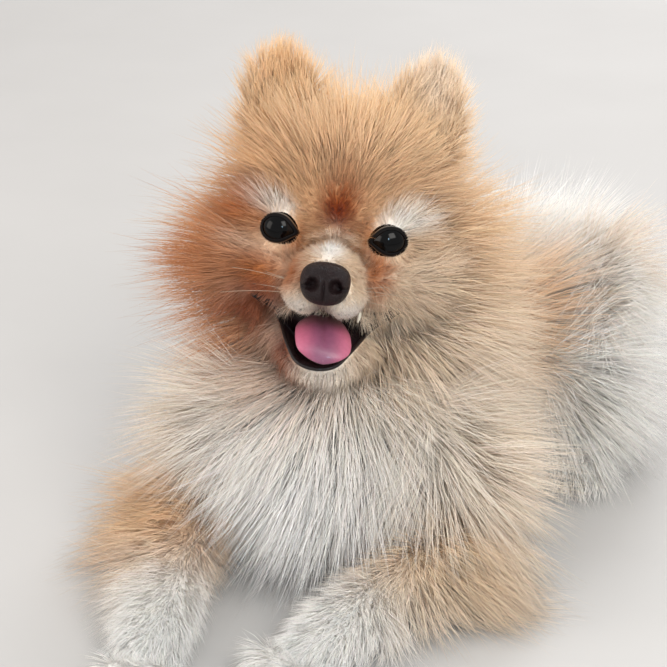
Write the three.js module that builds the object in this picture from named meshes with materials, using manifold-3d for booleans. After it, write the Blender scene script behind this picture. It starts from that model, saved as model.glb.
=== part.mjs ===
// A pomeranian lying on its chest with its head up and turned a little to its left, at life size.
// Millimetres, +Z up. The chest faces -Y, the dog's own left is +X, and the floor is z = 0.
// The origin is on the floor under the middle of the rib cage.
import * as THREE from 'three';
import { mergeVertices } from 'three/addons/utils/BufferGeometryUtils.js';
import Module from 'manifold-3d';

const wasm = await Module();
wasm.setup();
const { Manifold, Mesh: SolidMesh } = wasm;

// Driving sizes
const GAP = 0.3;
const EYE_MIDPOINT = [0, -43, 158];
const HEAD_TURN = 14;
const HEAD_RAISE = 19;
const HEAD_TILT = 5.3;
const EYE_SPACING = 45;
const EYEBALL_RADIUS = 9.6;
const EYEBALL_DEPTH = 7.6;
const NOSE_WIDTH = 20.4;
const NOSE_HEIGHT = 15.6;
const EAR_SPACING = 62;
const MUZZLE = [0, -25, -18];
const CHEST_WIDTH = 114;
const CHEST_DEPTH = 120;
const ELBOW_SPACING = 140;
const COAT_HANG = 0.45;

const COAT = {
  fawn: 0xd9a878,
  cream: 0xe6d3bd,
  white: 0xe9e6e0,
  leather: 0x33262a,
  tongue: 0xc0738a,
  eye: 0x0b0807,
};

const radians = THREE.MathUtils.degToRad;
const vec = (x, y, z) => new THREE.Vector3(x, y, z);
const UP = vec(0, 0, 1);

// The face's own frame: x to the dog's left, y backwards, z up, with its origin midway between the eyes.
const faceFrame = new THREE.Matrix4().compose(
  vec(...EYE_MIDPOINT),
  new THREE.Quaternion().setFromEuler(
    new THREE.Euler(radians(-HEAD_RAISE), radians(HEAD_TILT), radians(HEAD_TURN), 'ZXY'),
  ),
  vec(1, 1, 1),
);
const onFace = (x, y, z) => vec(x, y, z).applyMatrix4(faceFrame);
const alongFace = (x, y, z) => vec(x, y, z).transformDirection(faceFrame);

// A seeded draw from 0 to 1, so that every build gives the same coat.
function makeDraw(seed) {
  let state = seed;
  return () => {
    state = (state + 0x6d2b79f5) | 0;
    let mixed = Math.imul(state ^ (state >>> 15), 1 | state);
    mixed = (mixed + Math.imul(mixed ^ (mixed >>> 7), 61 | mixed)) ^ mixed;
    return ((mixed ^ (mixed >>> 14)) >>> 0) / 4294967296;
  };
}

// Geometry with its doubled vertices joined, so that it is one closed surface.
function joined(geometry) {
  geometry.deleteAttribute('normal');
  geometry.deleteAttribute('uv');
  return mergeVertices(geometry);
}

function moved(geometry, place) {
  const copy = geometry.clone();
  const position = copy.getAttribute('position');
  for (let i = 0; i < position.count; i++) {
    const point = place(vec(position.getX(i), position.getY(i), position.getZ(i)));
    position.setXYZ(i, point.x, point.y, point.z);
  }
  return copy;
}

function solidOf(geometry) {
  const vertices = geometry.getAttribute('position').array;
  const triangles = Uint32Array.from(geometry.index.array);
  const made = new Manifold(new SolidMesh({ numProp: 3, vertProperties: vertices, triVerts: triangles }));
  if (made.volume() > 0) return made;
  for (let i = 0; i < triangles.length; i += 3) {
    [triangles[i], triangles[i + 1]] = [triangles[i + 1], triangles[i]];
  }
  return new Manifold(new SolidMesh({ numProp: 3, vertProperties: vertices, triVerts: triangles }));
}

const largestOf = (solid) => solid.decompose().reduce((best, piece) => (
  piece.volume() > best.volume() ? piece : best
));

// A tube along a smooth path, with an oval section at each path point and rounded ends.
class Limb {
  constructor({ path, sizes, rise = UP, around = 16, along = 10, blunt = 4 }) {
    this.path = new THREE.CatmullRomCurve3(path.map((p) => vec(...p)), false, 'centripetal');
    this.sizes = new THREE.SplineCurve(sizes.map(([width, height]) => new THREE.Vector2(width, height)));
    this.riseHint = rise;
    this.ball = joined(new THREE.SphereGeometry(1, around, along));
    this.blunt = blunt;
  }

  // Where the path is at a share s of its length, with its forward, side and rise directions there.
  frame(s) {
    const along = this.path.getTangent(s).normalize();
    const side = along.clone().cross(this.riseHint).normalize();
    const rise = side.clone().cross(along).normalize();
    return { point: this.path.getPoint(s), along, side, rise };
  }

  // A point of the surface: s runs along the limb, and angle is 90 degrees at its top.
  surface(s, angle, grow = 0) {
    const { point, along, side, rise } = this.frame(s);
    const size = this.sizes.getPoint(s);
    const round = Math.sqrt(Math.max(0, 1 - Math.abs(2 * s - 1) ** this.blunt));
    const [c, d] = [Math.cos(radians(angle)), Math.sin(radians(angle))];
    const at = point.clone()
      .addScaledVector(side, c * (size.x + grow) * round)
      .addScaledVector(rise, d * (size.y + grow) * round)
      .addScaledVector(along, (2 * s - 1) * grow);
    const end = Math.sign(2 * s - 1) * Math.abs(2 * s - 1) ** (2 * this.blunt - 1);
    const normal = side.clone().multiplyScalar(c / size.x)
      .addScaledVector(rise, d / size.y)
      .normalize()
      .multiplyScalar(round)
      .addScaledVector(along, end)
      .normalize();
    return { at, normal, along };
  }

  solid(grow = 0) {
    return solidOf(moved(this.ball, (p) => {
      const s = THREE.MathUtils.clamp((1 - p.y) / 2, 0, 1);
      return this.surface(s, THREE.MathUtils.radToDeg(Math.atan2(p.z, p.x)), grow).at;
    }));
  }
}

// A rounded form blended from ovals, found by going out from its middle to where the blend ends.
class Blend {
  constructor({ middle, ovals, softness, around, along, crowd = 1 }) {
    this.middle = vec(...middle);
    this.ovals = ovals.map(([centre, radii]) => ({ centre: vec(...centre), radii: vec(...radii) }));
    this.softness = softness;
    this.crowd = crowd;
    this.ball = joined(new THREE.SphereGeometry(1, around, along));
  }

  // How far a point is outside the blend, and less than nothing inside.
  depth(point) {
    return this.ovals.reduce((least, { centre, radii }) => {
      const offset = point.clone().sub(centre);
      const near = offset.clone().divide(radii);
      const steep = near.clone().divide(radii).length();
      const out = steep > 0 ? near.length() * (near.length() - 1) / steep : -Math.min(...radii.toArray());
      const mix = THREE.MathUtils.clamp(0.5 + (least - out) / (2 * this.softness), 0, 1);
      return THREE.MathUtils.lerp(least, out, mix) - this.softness * mix * (1 - mix);
    }, 1e3);
  }

  // The surface point on the ray from the middle along a direction.
  surface(direction, grow = 0) {
    const farthest = 120;
    let [inside, outside] = [0, farthest];
    const at = (r) => this.middle.clone().addScaledVector(direction, r);
    for (let step = 0; step < 22; step++) {
      const half = (inside + outside) / 2;
      if (this.depth(at(half)) < grow) inside = half;
      else outside = half;
    }
    const point = at(inside);
    const here = this.depth(point);
    const nudge = 0.5;
    const normal = vec(
      this.depth(point.clone().add(vec(nudge, 0, 0))) - here,
      this.depth(point.clone().add(vec(0, nudge, 0))) - here,
      this.depth(point.clone().add(vec(0, 0, nudge))) - here,
    ).normalize();
    return { at: point, normal };
  }

  // The direction at an angle away from straight ahead (-y), turned round the face from its left side.
  heading(polar, turn) {
    const [p, t] = [radians(polar), radians(turn)];
    return vec(Math.sin(p) * Math.cos(t), -Math.cos(p), Math.sin(p) * Math.sin(t));
  }

  geometry(grow = 0) {
    return moved(this.ball, (p) => {
      const polar = Math.PI * (Math.acos(THREE.MathUtils.clamp(p.y, -1, 1)) / Math.PI) ** this.crowd;
      const turn = Math.atan2(p.z, p.x);
      const direction = this.heading(THREE.MathUtils.radToDeg(polar), THREE.MathUtils.radToDeg(turn));
      return this.surface(direction, grow).at;
    });
  }
}

const oval = (centre, radii, grow = 0, around = 14, along = 10) => moved(
  joined(new THREE.SphereGeometry(1, around, along)),
  (p) => vec(
    centre[0] + p.x * (radii[0] + grow),
    centre[1] + p.y * (radii[1] + grow),
    centre[2] + p.z * (radii[2] + grow),
  ),
);
const faceSolid = (geometry) => solidOf(moved(geometry, (p) => p.applyMatrix4(faceFrame)));
const faceOval = (...sizes) => faceSolid(oval(...sizes));

// A flat tapered lock that leaves its root, bends over and ends in a point.
const LOCK_SIDES = 3;
const LOCK_STEPS = 3;
const LOCK_SINK = 5;
const FLOOR_CLEARANCE = 1.5;
const lockCone = joined(new THREE.ConeGeometry(1, 1, LOCK_SIDES, LOCK_STEPS));

function lockSolid({ root, normal, lie, length, width, thick, lift, tipLift }, grow = 0) {
  const raised = (angle) => lie.clone().multiplyScalar(Math.cos(radians(angle)))
    .addScaledVector(normal, Math.sin(radians(angle)));
  const rootWay = raised(lift);
  const bend = root.clone().addScaledVector(rootWay, length / 2);
  const tip = bend.clone().addScaledVector(raised(tipLift), length / 2 + grow);
  bend.setZ(Math.max(bend.z, thick / 2));
  tip.setZ(Math.max(tip.z, FLOOR_CLEARANCE));
  const start = root.clone().addScaledVector(rootWay, -LOCK_SINK);
  const line = new THREE.QuadraticBezierCurve3(start, bend, tip);
  return solidOf(moved(lockCone, (p) => {
    const t = THREE.MathUtils.clamp(p.y + 0.5, 0, 1);
    if (t > 0.999) return tip.clone();
    const along = line.getTangent(t);
    const side = along.clone().cross(normal).normalize();
    const rise = side.clone().cross(along).normalize();
    const reach = Math.hypot(p.x, p.z) / (1 - t);
    const turn = Math.atan2(p.x, p.z);
    const halfWidth = (width / 2) * (0.72 + 2 * t) * (1 - t) + grow;
    const halfThick = (thick / 2) * (1 - 0.7 * t) + grow;
    return line.getPoint(t)
      .addScaledVector(side, Math.sin(turn) * halfWidth * 1.15 * reach)
      .addScaledVector(rise, Math.cos(turn) * halfThick * 1.3 * reach);
  }));
}

const without = (way, normal) => way.clone().addScaledVector(normal, -way.dot(normal)).normalize();

// The coat runs away from the muzzle and hangs a little.
const coatWay = ({ at }) => at.clone().sub(onFace(...MUZZLE)).normalize().add(vec(0, 0, -COAT_HANG));

// Rows of locks round a surface. A lock is about as wide as the space it has in its row.
function lockRows({ rows, place, way = coatWay, seed }) {
  const draw = makeDraw(seed);
  const vary = (share) => 1 + share * (2 * draw() - 1);
  return rows.flatMap(({ at: share, from = 0, to = 360, count, length, lift, thick = 7, fan = 1.12 }, row) => {
    const step = (to - from) / count;
    return Array.from({ length: count }, (_, i) => {
      const angle = from + step * (i + (row % 2 ? 0.75 : 0.25) + 0.12 * (2 * draw() - 1));
      const spot = place(share, angle);
      const space = place(share, angle - step / 2).at.distanceTo(place(share, angle + step / 2).at);
      return {
        root: spot.at,
        normal: spot.normal,
        lie: without(way(spot), spot.normal),
        length: length * vary(0.12),
        width: space * fan,
        thick,
        lift: lift * vary(0.12),
        tipLift: lift * 0.45,
      };
    });
  });
}

// Plants each lock in the first bend that stays clear of its neighbours, and leaves out one that has none.
const BENDS = [[0, 1], [9, 1], [-9, 1], [18, 0.9], [-16, 0.8], [26, 0.8], [0, 0.6]];
const touching = (a, b) => a.min.every((low, i) => low < b.max[i] && b.min[i] < a.max[i]);

function plantLocks(plans, obstacles) {
  const clear = (plan) => {
    const solid = lockSolid(plan, GAP);
    const box = solid.boundingBox();
    return obstacles.every((other) => !touching(box, other.box) || solid.intersect(other.solid).isEmpty());
  };
  return plans.flatMap((plan) => {
    const tries = BENDS.map(([extra, share]) => ({
      ...plan, lift: plan.lift + extra, tipLift: plan.tipLift + extra, length: plan.length * share,
    }));
    return tries.filter((bent) => bent.lift < 85).find(clear) ?? [];
  });
}

// Everything below the floor is cut away, which leaves the small flats that the dog rests on.
const FLOOR_BLOCK = 600;
const underFloor = solidOf(moved(
  joined(new THREE.BoxGeometry(FLOOR_BLOCK, FLOOR_BLOCK, FLOOR_BLOCK)),
  (p) => p.add(vec(0, 0, -FLOOR_BLOCK / 2)),
));

const left = 1;
const right = -1;
const sideName = (side) => (side === left ? 'left' : 'right');

// Head
const headForm = new Blend({
  middle: [0, 14, -10],
  softness: 9,
  around: 26,
  along: 20,
  crowd: 1.25,
  ovals: [
    [[0, 36, 12], [35, 36, 33]],
    [[0, 10, 13], [20, 15, 14]],
    [[EYE_SPACING / 2, 13, 1], [14, 12, 14]],
    [[-EYE_SPACING / 2, 13, 1], [14, 12, 14]],
    [[26, 20, -18], [18, 22, 18]],
    [[-26, 20, -18], [18, 22, 18]],
    [[0, -9, -17], [14, 22, 12]],
    [[8.5, -18.5, -25], [8, 11, 8]],
    [[-8.5, -18.5, -25], [8, 11, 8]],
    [[0, 26, -36], [25, 22, 18]],
  ],
});

// The open mouth, seen from the side as a wedge from its corner to the front.
function mouthWedge(grow = 0) {
  const profile = new THREE.Shape();
  profile.moveTo(7 - 3 * grow, -30 - 1.35 * grow);
  profile.lineTo(-8, -32.5 - grow);
  profile.lineTo(-30, -33.5 - grow);
  profile.lineTo(-70, -34 - grow);
  profile.lineTo(-70, -66 + grow);
  profile.lineTo(-27, -51.5 + grow);
  profile.lineTo(-8, -41 + grow);
  profile.closePath();
  const halfSpan = 50;
  const prism = new THREE.ExtrudeGeometry(profile, { depth: 2 * halfSpan, bevelEnabled: false });
  return faceSolid(moved(joined(prism), (p) => vec(p.z - halfSpan, p.x, p.y)));
}

function eyeball(side, grow = 0) {
  const centre = [side * EYE_SPACING / 2, EYEBALL_DEPTH, 0];
  return faceOval(centre, [EYEBALL_RADIUS, EYEBALL_RADIUS, EYEBALL_RADIUS], grow, 12, 8);
}

// The lids are a raised almond rim round each eye.
function eyelids(side) {
  const ring = joined(new THREE.TorusGeometry(7.6, 1.7, 4, 14));
  const turn = new THREE.Euler(radians(90), 0, side * radians(20), 'ZYX');
  return faceSolid(moved(ring, (p) => p.multiply(vec(1.02, 0.86, 1)).applyEuler(turn)
    .add(vec(side * (EYE_SPACING / 2 + 1.3), 1.4, 0))));
}

const nosePlace = [0, -31.5, -19.5];

function noseSolid(grow = 0) {
  const leather = moved(joined(new THREE.SphereGeometry(1, 12, 10)), (p) => vec(
    nosePlace[0] + p.x * (NOSE_WIDTH / 2 + grow) * (1 + 0.16 * p.z),
    nosePlace[1] + p.y * (8 + grow),
    nosePlace[2] + p.z * (NOSE_HEIGHT / 2 + grow),
  ));
  const nostrils = [left, right].flatMap((side) => [
    oval([side * 4.6, -39.2, -20], [2.2 - grow, 3.4 - grow, 2.3 - grow], 0, 6, 4),
    oval([side * 7.6, -37.2, -21.2], [2.6 - grow, 2.6 - grow, 1.1 - grow / 2], 0, 6, 4),
  ]);
  return faceSolid(leather).subtract(Manifold.union(nostrils.map(faceSolid)));
}

const tongueLimb = new Limb({
  path: [[0, 8, -36], [0, -8, -38.5], [1.4, -20, -43], [2.4, -28.5, -50], [2.4, -30, -54.5]]
    .map((p) => onFace(...p).toArray()),
  sizes: [[8, 3], [10.5, 3], [11.5, 2.8], [11, 2.5], [8, 2]],
  rise: alongFace(0, 0, 1),
  around: 12,
  along: 10,
});

const jawLimb = new Limb({
  path: [[0, 22, -40], [0, 4, -47], [0, -13, -54.5], [0, -22, -57.5]].map((p) => onFace(...p).toArray()),
  sizes: [[24, 15], [20, 12.5], [15, 8.5], [10, 5.5]],
  rise: alongFace(0, 0, 1),
  around: 16,
  along: 12,
});

// The coat of the head stands out from the face like a ruff: rings of locks round the way it looks.
function headPlace(polar, turn) {
  const { at, normal } = headForm.surface(headForm.heading(polar, turn));
  return { at: at.applyMatrix4(faceFrame), normal: normal.transformDirection(faceFrame) };
}

const headLocks = lockRows({
  place: headPlace,
  seed: 11,
  rows: [
    { at: 62, count: 12, length: 27, lift: 24, thick: 5 },
    { at: 78, count: 14, length: 36, lift: 38, thick: 6 },
    { at: 94, count: 15, length: 44, lift: 50 },
    { at: 112, count: 14, length: 50, lift: 60 },
    { at: 84, from: 64, to: 116, count: 3, length: 44, lift: 70, thick: 6 },
    { at: 124, from: 40, to: 140, count: 5, length: 46, lift: 56 },
    { at: 142, from: 20, to: 160, count: 4, length: 48, lift: 50 },
    { at: 160, from: 0, to: 360, count: 4, length: 48, lift: 46 },
  ],
});

// Ears: small rounded cups, open to the front.
function earLimb(side) {
  const x = side * EAR_SPACING / 2;
  return new Limb({
    path: [[x - side * 3, 44, 30], [x, 44, 50], [x + side * 2, 46, 66], [x + side * 2, 48, 76]]
      .map((p) => onFace(...p).toArray()),
    sizes: [[15, 9], [18, 9], [15, 7], [8, 5]],
    rise: alongFace(0, -1, 0),
    around: 12,
    along: 8,
  });
}

function earCup(side, grow = 0) {
  const x = side * (EAR_SPACING / 2 + 1);
  return faceOval([x, 35.5, 58], [11 - grow, 8 - grow, 17 - grow], 0, 10, 6);
}

function earLocks(side) {
  const ear = earLimb(side);
  return lockRows({
    place: (s, angle) => ear.surface(s, angle),
    way: ({ along }) => along.clone(),
    seed: 21 + side,
    rows: [{ at: 0.62, from: 165, to: 375, count: 5, length: 17, lift: 14, thick: 3.5, fan: 1.3 }],
  });
}

// Neck and trunk
const neckLimb = new Limb({
  path: [[0, -8, 74], [-1, -6, 96], [-4, 6, 122], [-9, 20, 144], [-13, 30, 158]],
  sizes: [[50, 44], [55, 46], [54, 42], [46, 38], [30, 28]],
  rise: vec(0, -1, 0),
  around: 16,
  along: 9,
});

const neckLocks = lockRows({
  place: (s, angle) => neckLimb.surface(s, angle),
  seed: 41,
  rows: [
    { at: 0.82, count: 13, length: 56, lift: 58, thick: 8 },
    { at: 0.66, count: 14, length: 58, lift: 54, thick: 8 },
    { at: 0.5, count: 14, length: 58, lift: 48, thick: 8 },
    { at: 0.34, count: 14, length: 56, lift: 40, thick: 8 },
    { at: 0.2, from: 20, to: 160, count: 6, length: 50, lift: 34, thick: 8 },
  ],
});

const chestLimb = new Limb({
  path: [[0, -64, 60], [0, -30, 61], [1, 10, 61], [8, 50, 60], [20, 80, 58]],
  sizes: [
    [44, 46],
    [CHEST_WIDTH / 2, CHEST_DEPTH / 2 + 2],
    [CHEST_WIDTH / 2, CHEST_DEPTH / 2 + 1.5],
    [54, 58],
    [46, 48],
  ],
  around: 18,
  along: 11,
});

const chestLocks = lockRows({
  place: (s, angle) => chestLimb.surface(s, angle),
  seed: 51,
  rows: [
    { at: 0.004, from: -20, to: 200, count: 3, length: 46, lift: 22, thick: 8 },
    { at: 0.016, from: -60, to: 240, count: 5, length: 46, lift: 26, thick: 8 },
    { at: 0.05, from: -60, to: 240, count: 7, length: 46, lift: 30, thick: 8 },
    { at: 0.12, from: -35, to: 215, count: 9, length: 46, lift: 30, thick: 8 },
    { at: 0.26, from: -30, to: 210, count: 9, length: 50, lift: 30, thick: 8 },
    { at: 0.42, from: -30, to: 210, count: 9, length: 50, lift: 32, thick: 8 },
    { at: 0.58, from: -30, to: 210, count: 9, length: 50, lift: 32, thick: 8 },
    { at: 0.74, from: -30, to: 210, count: 9, length: 50, lift: 32, thick: 8 },
  ],
});

const rumpLimb = new Limb({
  path: [[8, 44, 54], [22, 78, 51], [38, 104, 48], [56, 132, 47], [66, 150, 46]],
  sizes: [[44, 46], [54, 51], [56, 50], [50, 48], [34, 36]],
  around: 16,
  along: 10,
});

const rumpLocks = lockRows({
  place: (s, angle) => rumpLimb.surface(s, angle),
  seed: 61,
  rows: [
    { at: 0.28, from: -30, to: 210, count: 8, length: 50, lift: 32, thick: 8 },
    { at: 0.44, from: -30, to: 210, count: 8, length: 50, lift: 32, thick: 8 },
    { at: 0.6, from: -30, to: 210, count: 8, length: 50, lift: 32, thick: 8 },
    { at: 0.76, from: -30, to: 210, count: 8, length: 48, lift: 30, thick: 8 },
    { at: 0.91, from: -30, to: 210, count: 8, length: 46, lift: 28, thick: 8 },
    { at: 0.985, from: -40, to: 220, count: 6, length: 42, lift: 24, thick: 8 },
  ],
});

const tailLimb = new Limb({
  path: [[56, 150, 66], [64, 158, 86], [78, 146, 100], [88, 124, 104], [92, 98, 100], [90, 76, 92]],
  sizes: [[12, 12], [13, 11], [13, 9], [13, 8], [10, 7], [6, 4]],
  rise: vec(0.3, 0.5, 1).normalize(),
  around: 10,
  along: 10,
});

const tailLocks = lockRows({
  place: (s, angle) => tailLimb.surface(s, angle),
  way: ({ along }) => along.clone(),
  seed: 71,
  rows: [
    { at: 0.4, from: -20, to: 200, count: 4, length: 46, lift: 14, thick: 6, fan: 1.7 },
    { at: 0.6, from: -20, to: 200, count: 4, length: 46, lift: 20, thick: 6, fan: 1.7 },
    { at: 0.8, from: -20, to: 200, count: 4, length: 44, lift: 22, thick: 6, fan: 1.7 },
  ],
});

// Front legs: the elbows are out and both paws lie in front of the chest.
const frontLegs = {
  [left]: {
    shoulder: [34, -30, 80],
    elbow: [ELBOW_SPACING / 2 + 2, -46, 26],
    wrist: [34, -100, 18],
    toes: [12, -144, 13],
  },
  [right]: {
    shoulder: [-34, -30, 80],
    elbow: [-ELBOW_SPACING / 2 + 2, -48, 26],
    wrist: [-50, -116, 18],
    toes: [-42, -166, 13],
  },
};

const between = (a, b, share) => a.map((value, i) => value + (b[i] - value) * share);

function upperArmLimb(side) {
  const { shoulder, elbow } = frontLegs[side];
  return new Limb({
    path: [shoulder, between(shoulder, elbow, 0.5), elbow],
    sizes: [[24, 22], [25, 24], [21, 22]],
    rise: vec(0, -1, 0.2).normalize(),
    around: 14,
    along: 8,
  });
}

function forearmLimb(side) {
  const { elbow, wrist } = frontLegs[side];
  return new Limb({
    path: [between(elbow, wrist, -0.12), between(elbow, wrist, 0.5), between(elbow, wrist, 1.08)],
    sizes: [[24, 24], [23, 22], [19, 18]],
    around: 14,
    along: 8,
  });
}

function upperArmLocks(side) {
  const limb = upperArmLimb(side);
  return lockRows({
    place: (s, angle) => limb.surface(s, angle),
    seed: 81 + side,
    rows: [
      { at: 0.45, count: 8, length: 46, lift: 34, thick: 7 },
      { at: 0.68, count: 8, length: 50, lift: 36, thick: 7 },
      { at: 0.9, count: 7, length: 46, lift: 32, thick: 7 },
    ],
  });
}

function forearmLocks(side) {
  const limb = forearmLimb(side);
  return lockRows({
    place: (angle, s) => limb.surface(s, side === left ? 180 - angle : angle),
    way: () => vec(0.9 * side, 0.4, -0.4),
    seed: 91 + side,
    rows: [
      { at: 62, from: 0.06, to: 0.86, count: 5, length: 32, lift: 26, thick: 5 },
      { at: 14, from: 0.02, to: 0.92, count: 5, length: 48, lift: 28, thick: 6 },
    ],
  });
}

// A paw with four toes in front.
function pawSolid({ back, toes, halfWidth, height, grow = 0 }) {
  const ahead = vec(...toes).sub(vec(...back)).setZ(0).normalize();
  const side = ahead.clone().cross(UP);
  const pad = new Limb({
    path: [back, between(back, toes, 0.5), between(back, toes, 0.92)],
    sizes: [[halfWidth * 0.85, height * 0.62], [halfWidth, height * 0.62], [halfWidth * 0.8, height * 0.5]],
    around: 10,
    along: 6,
  });
  const toeShares = [-0.66, -0.24, 0.24, 0.66];
  const toeSolids = toeShares.map((share) => {
    const reach = 8 * (1 - share * share);
    const centre = vec(...between(back, toes, 0.86)).addScaledVector(side, share * halfWidth)
      .addScaledVector(ahead, reach).setZ(height * 0.42);
    return solidOf(oval(centre.toArray(), [halfWidth * 0.34, halfWidth * 0.38, height * 0.44], grow, 6, 4));
  });
  return Manifold.union([pad.solid(grow), ...toeSolids]);
}

function frontPaw(side, grow = 0) {
  const { wrist, toes } = frontLegs[side];
  return pawSolid({ back: between(wrist, toes, 0.05), toes, halfWidth: 19, height: 26, grow });
}

// Hind legs, folded beside the belly with the feet flat.
const hindLegs = {
  [left]: { hip: [74, 110, 48], knee: [84, 54, 38], hock: [94, 112, 15], toes: [92, 54, 11] },
  [right]: { hip: [22, 136, 50], knee: [-16, 100, 38], hock: [10, 150, 15], toes: [-34, 92, 11] },
};

function thighLimb(side) {
  const { hip, knee } = hindLegs[side];
  return new Limb({
    path: [hip, between(hip, knee, 0.5), knee],
    sizes: [[32, 38], [32, 38], [25, 30]],
    around: 16,
    along: 10,
  });
}

function thighLocks(side) {
  const limb = thighLimb(side);
  return lockRows({
    place: (s, angle) => limb.surface(s, angle),
    seed: 101 + side,
    rows: [
      { at: 0.3, count: 8, length: 56, lift: 34, thick: 7 },
      { at: 0.6, count: 8, length: 56, lift: 34, thick: 7 },
      { at: 0.88, count: 7, length: 48, lift: 30, thick: 7 },
    ],
  });
}

function hindPaw(side, grow = 0) {
  const { hock, toes } = hindLegs[side];
  return pawSolid({ back: hock, toes, halfWidth: 16, height: 22, grow });
}

const material = (color, roughness = 0.9) => new THREE.MeshStandardMaterial({ color, roughness, metalness: 0 });

// Each node in turn gives way to those before it by the gap that touching pieces keep.
const nodes = [];

function addNode(name, looks, build, locks = []) {
  nodes.push({ name, looks, build, locks });
}

const shaped = (limb) => (grow) => limb.solid(grow);

for (const side of [left, right]) {
  addNode(`eye_${sideName(side)}`, material(COAT.eye, 0.05), (grow) => eyeball(side, grow));
}
addNode('chest', material(COAT.cream), shaped(chestLimb), chestLocks);
addNode('rump', material(COAT.white), shaped(rumpLimb), rumpLocks);
addNode('neck', material(COAT.fawn), shaped(neckLimb), neckLocks);
addNode('head', material(COAT.fawn), (grow) => (
  Manifold.union([faceSolid(headForm.geometry(grow)), eyelids(left), eyelids(right)])
    .subtract(mouthWedge(grow))
), headLocks);
addNode('lower_jaw', material(COAT.cream), (grow) => jawLimb.solid(grow).subtract(mouthWedge(grow)));
for (const side of [left, right]) {
  const ear = earLimb(side);
  addNode(
    `ear_${sideName(side)}`,
    material(COAT.fawn),
    (grow) => ear.solid(grow).subtract(earCup(side, grow)),
    earLocks(side),
  );
}
addNode('nose', material(COAT.leather, 0.4), noseSolid);
addNode('tongue', material(COAT.tongue, 0.45), shaped(tongueLimb));
for (const side of [left, right]) {
  addNode(`upper_arm_${sideName(side)}`, material(COAT.cream), shaped(upperArmLimb(side)), upperArmLocks(side));
  addNode(`forearm_${sideName(side)}`, material(COAT.cream), shaped(forearmLimb(side)), forearmLocks(side));
  addNode(`forepaw_${sideName(side)}`, material(COAT.white), (grow) => frontPaw(side, grow));
  addNode(`thigh_${sideName(side)}`, material(COAT.white), shaped(thighLimb(side)), thighLocks(side));
  addNode(`hind_paw_${sideName(side)}`, material(COAT.white), (grow) => hindPaw(side, grow));
}
addNode('tail', material(COAT.white), shaped(tailLimb), tailLocks);

const boxed = (solid) => ({ solid, box: solid.boundingBox() });
const cores = nodes.map(({ build }) => build(0));

const dog = new THREE.Group();
const placed = [];
nodes.forEach((node, index) => {
  const later = cores.slice(index + 1).map((core) => boxed(core.subtract(cores[index])));
  const locks = plantLocks(node.locks, [...placed, ...later]);
  const whole = (grow) => (
    Manifold.union([node.build(grow), ...locks.map((lock) => lockSolid(lock, grow))]).subtract(underFloor)
  );
  const full = boxed(whole(0));
  const near = placed.filter((other) => touching(full.box, other.box)).map((other) => other.solid);
  const solid = largestOf(near.length ? full.solid.subtract(Manifold.union(near)) : full.solid);
  placed.push(boxed(whole(GAP)));
  const { vertProperties, triVerts, numProp } = solid.getMesh();
  const geometry = new THREE.BufferGeometry();
  const positions = new Float32Array((vertProperties.length / numProp) * 3);
  for (let i = 0; i < positions.length / 3; i++) {
    positions.set(vertProperties.subarray(i * numProp, i * numProp + 3), i * 3);
  }
  geometry.setAttribute('position', new THREE.BufferAttribute(positions, 3));
  geometry.setIndex(new THREE.BufferAttribute(triVerts, 1));
  geometry.computeVertexNormals();
  geometry.computeBoundingBox();
  const anchor = geometry.boundingBox.getCenter(new THREE.Vector3());
  geometry.translate(-anchor.x, -anchor.y, -anchor.z);
  const mesh = new THREE.Mesh(geometry, node.looks);
  mesh.name = node.name;
  mesh.position.copy(anchor);
  dog.add(mesh);
});

export default dog;
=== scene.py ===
"""A still, life-size pomeranian lying on its chest: skin, long coat, eyes, nose, mouth and claws."""

import logging
from dataclasses import dataclass, field
from enum import Enum
from typing import Any, Sequence

import bmesh
import bpy
import numpy as np
from mathutils import Euler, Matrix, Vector, noise
from mathutils.bvhtree import BVHTree
from mathutils.kdtree import KDTree

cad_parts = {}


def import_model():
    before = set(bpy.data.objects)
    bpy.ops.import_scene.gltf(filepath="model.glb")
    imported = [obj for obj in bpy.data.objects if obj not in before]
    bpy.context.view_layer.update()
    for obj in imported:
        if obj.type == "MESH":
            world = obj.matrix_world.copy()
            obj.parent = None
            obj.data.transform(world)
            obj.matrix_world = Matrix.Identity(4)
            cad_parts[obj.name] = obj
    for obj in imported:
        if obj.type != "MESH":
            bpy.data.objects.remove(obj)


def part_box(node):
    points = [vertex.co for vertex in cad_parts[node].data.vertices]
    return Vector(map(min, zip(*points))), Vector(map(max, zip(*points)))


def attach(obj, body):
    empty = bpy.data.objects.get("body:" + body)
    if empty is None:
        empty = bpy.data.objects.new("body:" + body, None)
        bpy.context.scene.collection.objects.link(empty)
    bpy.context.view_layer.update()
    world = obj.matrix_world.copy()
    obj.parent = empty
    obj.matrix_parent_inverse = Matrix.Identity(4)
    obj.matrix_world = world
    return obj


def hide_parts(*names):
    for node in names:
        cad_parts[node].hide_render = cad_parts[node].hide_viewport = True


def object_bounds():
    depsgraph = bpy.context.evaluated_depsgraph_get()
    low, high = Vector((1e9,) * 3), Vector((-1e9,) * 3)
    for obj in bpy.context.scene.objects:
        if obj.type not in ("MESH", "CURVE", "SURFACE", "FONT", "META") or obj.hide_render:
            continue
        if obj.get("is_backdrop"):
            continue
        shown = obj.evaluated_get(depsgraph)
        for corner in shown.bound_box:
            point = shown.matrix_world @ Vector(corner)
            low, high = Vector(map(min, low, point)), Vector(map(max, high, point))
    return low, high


log = logging.getLogger("pomeranian")

Array = np.ndarray
Triple = tuple[float, float, float]

# Everything below is worked out in millimetres and turned to metres when a mesh is made.
MM = 0.001
BODY = "root"
UP = np.array([0.0, 0.0, 1.0])

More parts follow.
